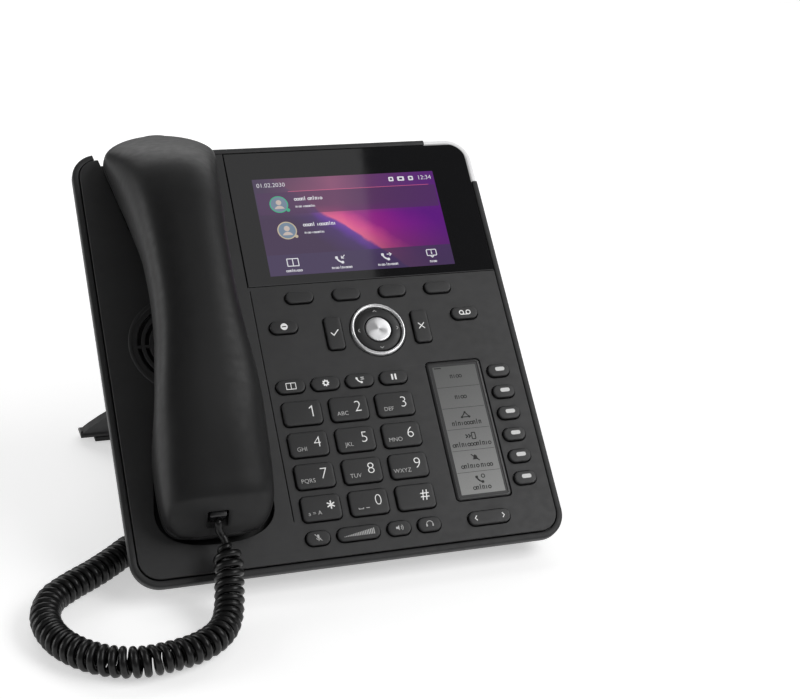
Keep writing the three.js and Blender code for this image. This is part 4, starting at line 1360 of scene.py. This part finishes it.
def shell_ring(v, upper, shrink=1.0, shift=0.0):
    """The outline of one shell at v, closed along the parting surface with a softened lip."""
    low, high = UNDERSIDE(v), CREST(v)
    middle, rise = (low + high) / 2, (high - low) / 2
    seam = PARTING(v) + (PARTING_GAP / 2 if upper else -PARTING_GAP / 2)
    lip = 0.25 if upper else -0.25
    level = max(-0.97, min(0.97, (seam + lip - middle) / rise))
    square = SQUARE_ABOVE(v) if level > 0 else SQUARE_BELOW(v)
    start = math.asin(math.copysign(abs(level) ** (1 / square), level))
    end = math.pi - start
    if not upper:
        start, end = end, 2 * math.pi + start
    ring = [section_point(v, start + (end - start) * i / SHELL_POINTS) for i in range(SHELL_POINTS + 1)]
    edge = ring[-1][0]
    flat = middle + level * rise - lip
    ring += [(edge * (0.985 - 1.97 * i / 8), flat) for i in range(9)]
    centre = (flat + (high if upper else low)) / 2
    axis = HANDSET_U + ASKEW_SLOPE * (v - ASKEW_PIVOT)
    return [(axis + LEAN * w + x * shrink, v + shift, centre + (w - centre) * shrink) for x, w in ring]


def handset_shell(upper):
    stations = handset_stations()
    ends = ((0.97, 0.12), (0.9, 0.3), (0.75, 0.42))
    rings = [shell_ring(stations[0], upper, shrink, -shift) for shrink, shift in reversed(ends)]
    rings += [shell_ring(v, upper) for v in stations]
    rings += [shell_ring(stations[-1], upper, shrink, shift) for shrink, shift in ends]
    return Form().loft(rings)


def add_handset():
    u = face_middle("handset_plug")[0]
    mouth = rounded(u - 4.7, u + 4.7, 12.6, 21.4, 0.7, 4)
    notch = Form().loft([[(a, v, b) for a, b in mouth] for v in (8, 31)])
    piece(carved(handset_shell(True), [notch], bevel=0.2, limit=60), "handset_back", [HANDSET], "handset",
          ["handset_back_shell"], angle=50)
    slots = []
    for radius in (3.2, 6.2, 9.2):
        for quarter in range(4):
            start, end = 90 * quarter + 90 / radius, 90 * (quarter + 1) - 90 / radius
            slot = (arc(HANDSET_U, RECEIVER_V, radius + 0.7, start, end)
                    + arc(HANDSET_U, RECEIVER_V, radius - 0.7, end, start))
            slots.append(Form().prism(slot, -6, -2.6))
    slots.append(Form().prism(centred(HANDSET_U, MICROPHONE_V, 7, 1.4, 0.6, 4), -6, -2.2))
    piece(carved(handset_shell(False), slots), "handset_front", [HANDSET], "handset",
          ["handset_front_shell", "handset_receiver"], angle=50)


add_handset()


# ------------------------------------------------------------------ CAD nodes shown as they are
def dress(node, material, bevel=0.0):
    """A CAD node keeps its shape; it gets a material and, for looks, softened edges."""
    thing = frame["nodes"][node]
    thing.data.materials.clear()
    thing.data.materials.append(material)
    if bevel:
        edge = thing.modifiers.new("soft_edges", "BEVEL")
        edge.width = bevel * MM
        edge.segments = 3
        edge.limit_method = "ANGLE"
        edge.angle_limit = math.radians(40)
        edge.harden_normals = True
    thing.data.shade_smooth()
    thing.data.set_sharp_from_angle(angle=math.radians(34))


BOARD_BACK = -9.7  # the depth of the board's back


def board_material():
    """Green solder mask over copper, black mouldings behind it where the sockets stand."""
    material, tree, shader = shader_of("circuit_board", (0.02, 0.12, 0.06), 0.4)
    traces = ramp(tree, noise(tree, 420, 1, (1, 0.08, 0.08)), [
        (0.44, (0.012, 0.085, 0.04)), (0.5, (0.03, 0.17, 0.085)), (0.56, (0.012, 0.085, 0.04))])
    out_of_face = FACE.to_3x3() @ Vector((0, 0, 1)) / MM
    socket_side = (FACE @ Vector((0, 0, BOARD_BACK))).dot(out_of_face)
    behind = tree.nodes.new("ShaderNodeMath")
    behind.operation = "LESS_THAN"
    behind.inputs[1].default_value = 0
    tree.links.new(measured(tree, out_of_face, socket_side), behind.inputs[0])
    colour = mixed(tree, behind.outputs[0], traces, (0.012, 0.012, 0.013))
    tree.links.new(colour, shader.inputs["Base Color"])
    bumped(tree, shader, noise(tree, 900, 3), 0.00001)
    return material


dress("main_board", board_material(), 0.15)
dress("main_lcd_module", STEEL, 0.3)
dress("label_lcd_module", STEEL, 0.3)
dress("key_mat", SILICONE)
dress("loudspeaker", CONE)
dress("hook_switch", KEY, 0.8)
dress("stand", REAR, 0.5)
dress("stand_foot_pad", RUBBER, 0.35)
dress("front_foot_pad", RUBBER, 0.3)


# ------------------------------------------------------------------ studio
def lamp(name, place, width, height, radiance):
    """A soft rectangular lamp of an even radiance; `place` is its matrix, and it shines along -Z."""
    data = bpy.data.lights.new(name, "AREA")
    data.shape = "RECTANGLE"
    data.size, data.size_y = width, height
    data.energy = radiance * math.pi * width * height
    linked(name, data).matrix_world = place


def softbox(name, middle, aim, width, height, radiance):
    facing = (Vector(aim) - Vector(middle)).to_track_quat("-Z", "Y").to_matrix().to_4x4()
    lamp(name, Matrix.Translation(middle) @ facing, width, height, radiance)


def mirrored(point, height):
    """Where the eye, looking into the pane at a face point, meets the level `height` metres up."""
    spot = Vector((*point, 0))
    way = spot - EYE
    way.z = -way.z
    start, direction = FACE @ spot, FACE.to_3x3() @ way
    return start + direction * ((height - start.z) / direction.z)


def add_veil():
    """A narrow lamp overhead, whose edge is the slanting edge of the reflection on the pane."""
    height, width = 1.6, 0.34
    near, far = mirrored((134.5, 130), height), mirrored((143.8, 213), height)
    way = (far - near).normalized()
    right = Vector((way.y, -way.x, 0))
    middle = (near + far) / 2 - right * width / 2
    facing = Matrix((right, way, right.cross(way))).transposed().to_4x4()
    lamp("overhead_strip", Matrix.Translation(middle) @ facing, width, (far - near).length * 1.3, 0.75)


def add_studio():
    bpy.context.scene.view_settings.view_transform = "Standard"
    world = bpy.data.worlds.new("studio")
    bpy.context.scene.world = world
    world.use_nodes = True
    background = world.node_tree.nodes["Background"]
    background.inputs["Color"].default_value = (0.9, 0.9, 0.9, 1)
    background.inputs["Strength"].default_value = 0.16
    material, tree, shader = shader_of("floor", (0.85, 0.85, 0.85), 0.9, Specular_IOR_Level=0.1,
                                       Emission_Color=(1, 1, 1, 1), Emission_Strength=0.5)
    mottled(tree, shader.inputs["Base Color"], noise(tree, 3, 2), 0.84, 0.86)
    mesh = mesh_of(Form().prism(rounded(-4000, 4000, -4000, 4000, 400), -20, 0), "floor")
    mesh.transform(Matrix.Scale(MM, 4))
    mesh.materials.append(material)
    linked("floor", mesh)
    centre = (0, 0, 0.08)
    softbox("back_light", (0.3, 1.3, 1.05), centre, 2.0, 1.0, 1.9)
    softbox("left_strip", (-1.4, 0.4, 0.5), centre, 0.7, 0.8, 3.6)
    softbox("right_fill", (1.1, -0.36, 1.25), centre, 0.8, 0.8, 3.2)
    softbox("right_front", (0.95, -1.05, 1.15), centre, 0.7, 0.7, 4.6)
    softbox("front_fill", (-0.3, -1.7, 1.5), centre, 1.2, 0.6, 0.6)
    add_veil()


add_studio()
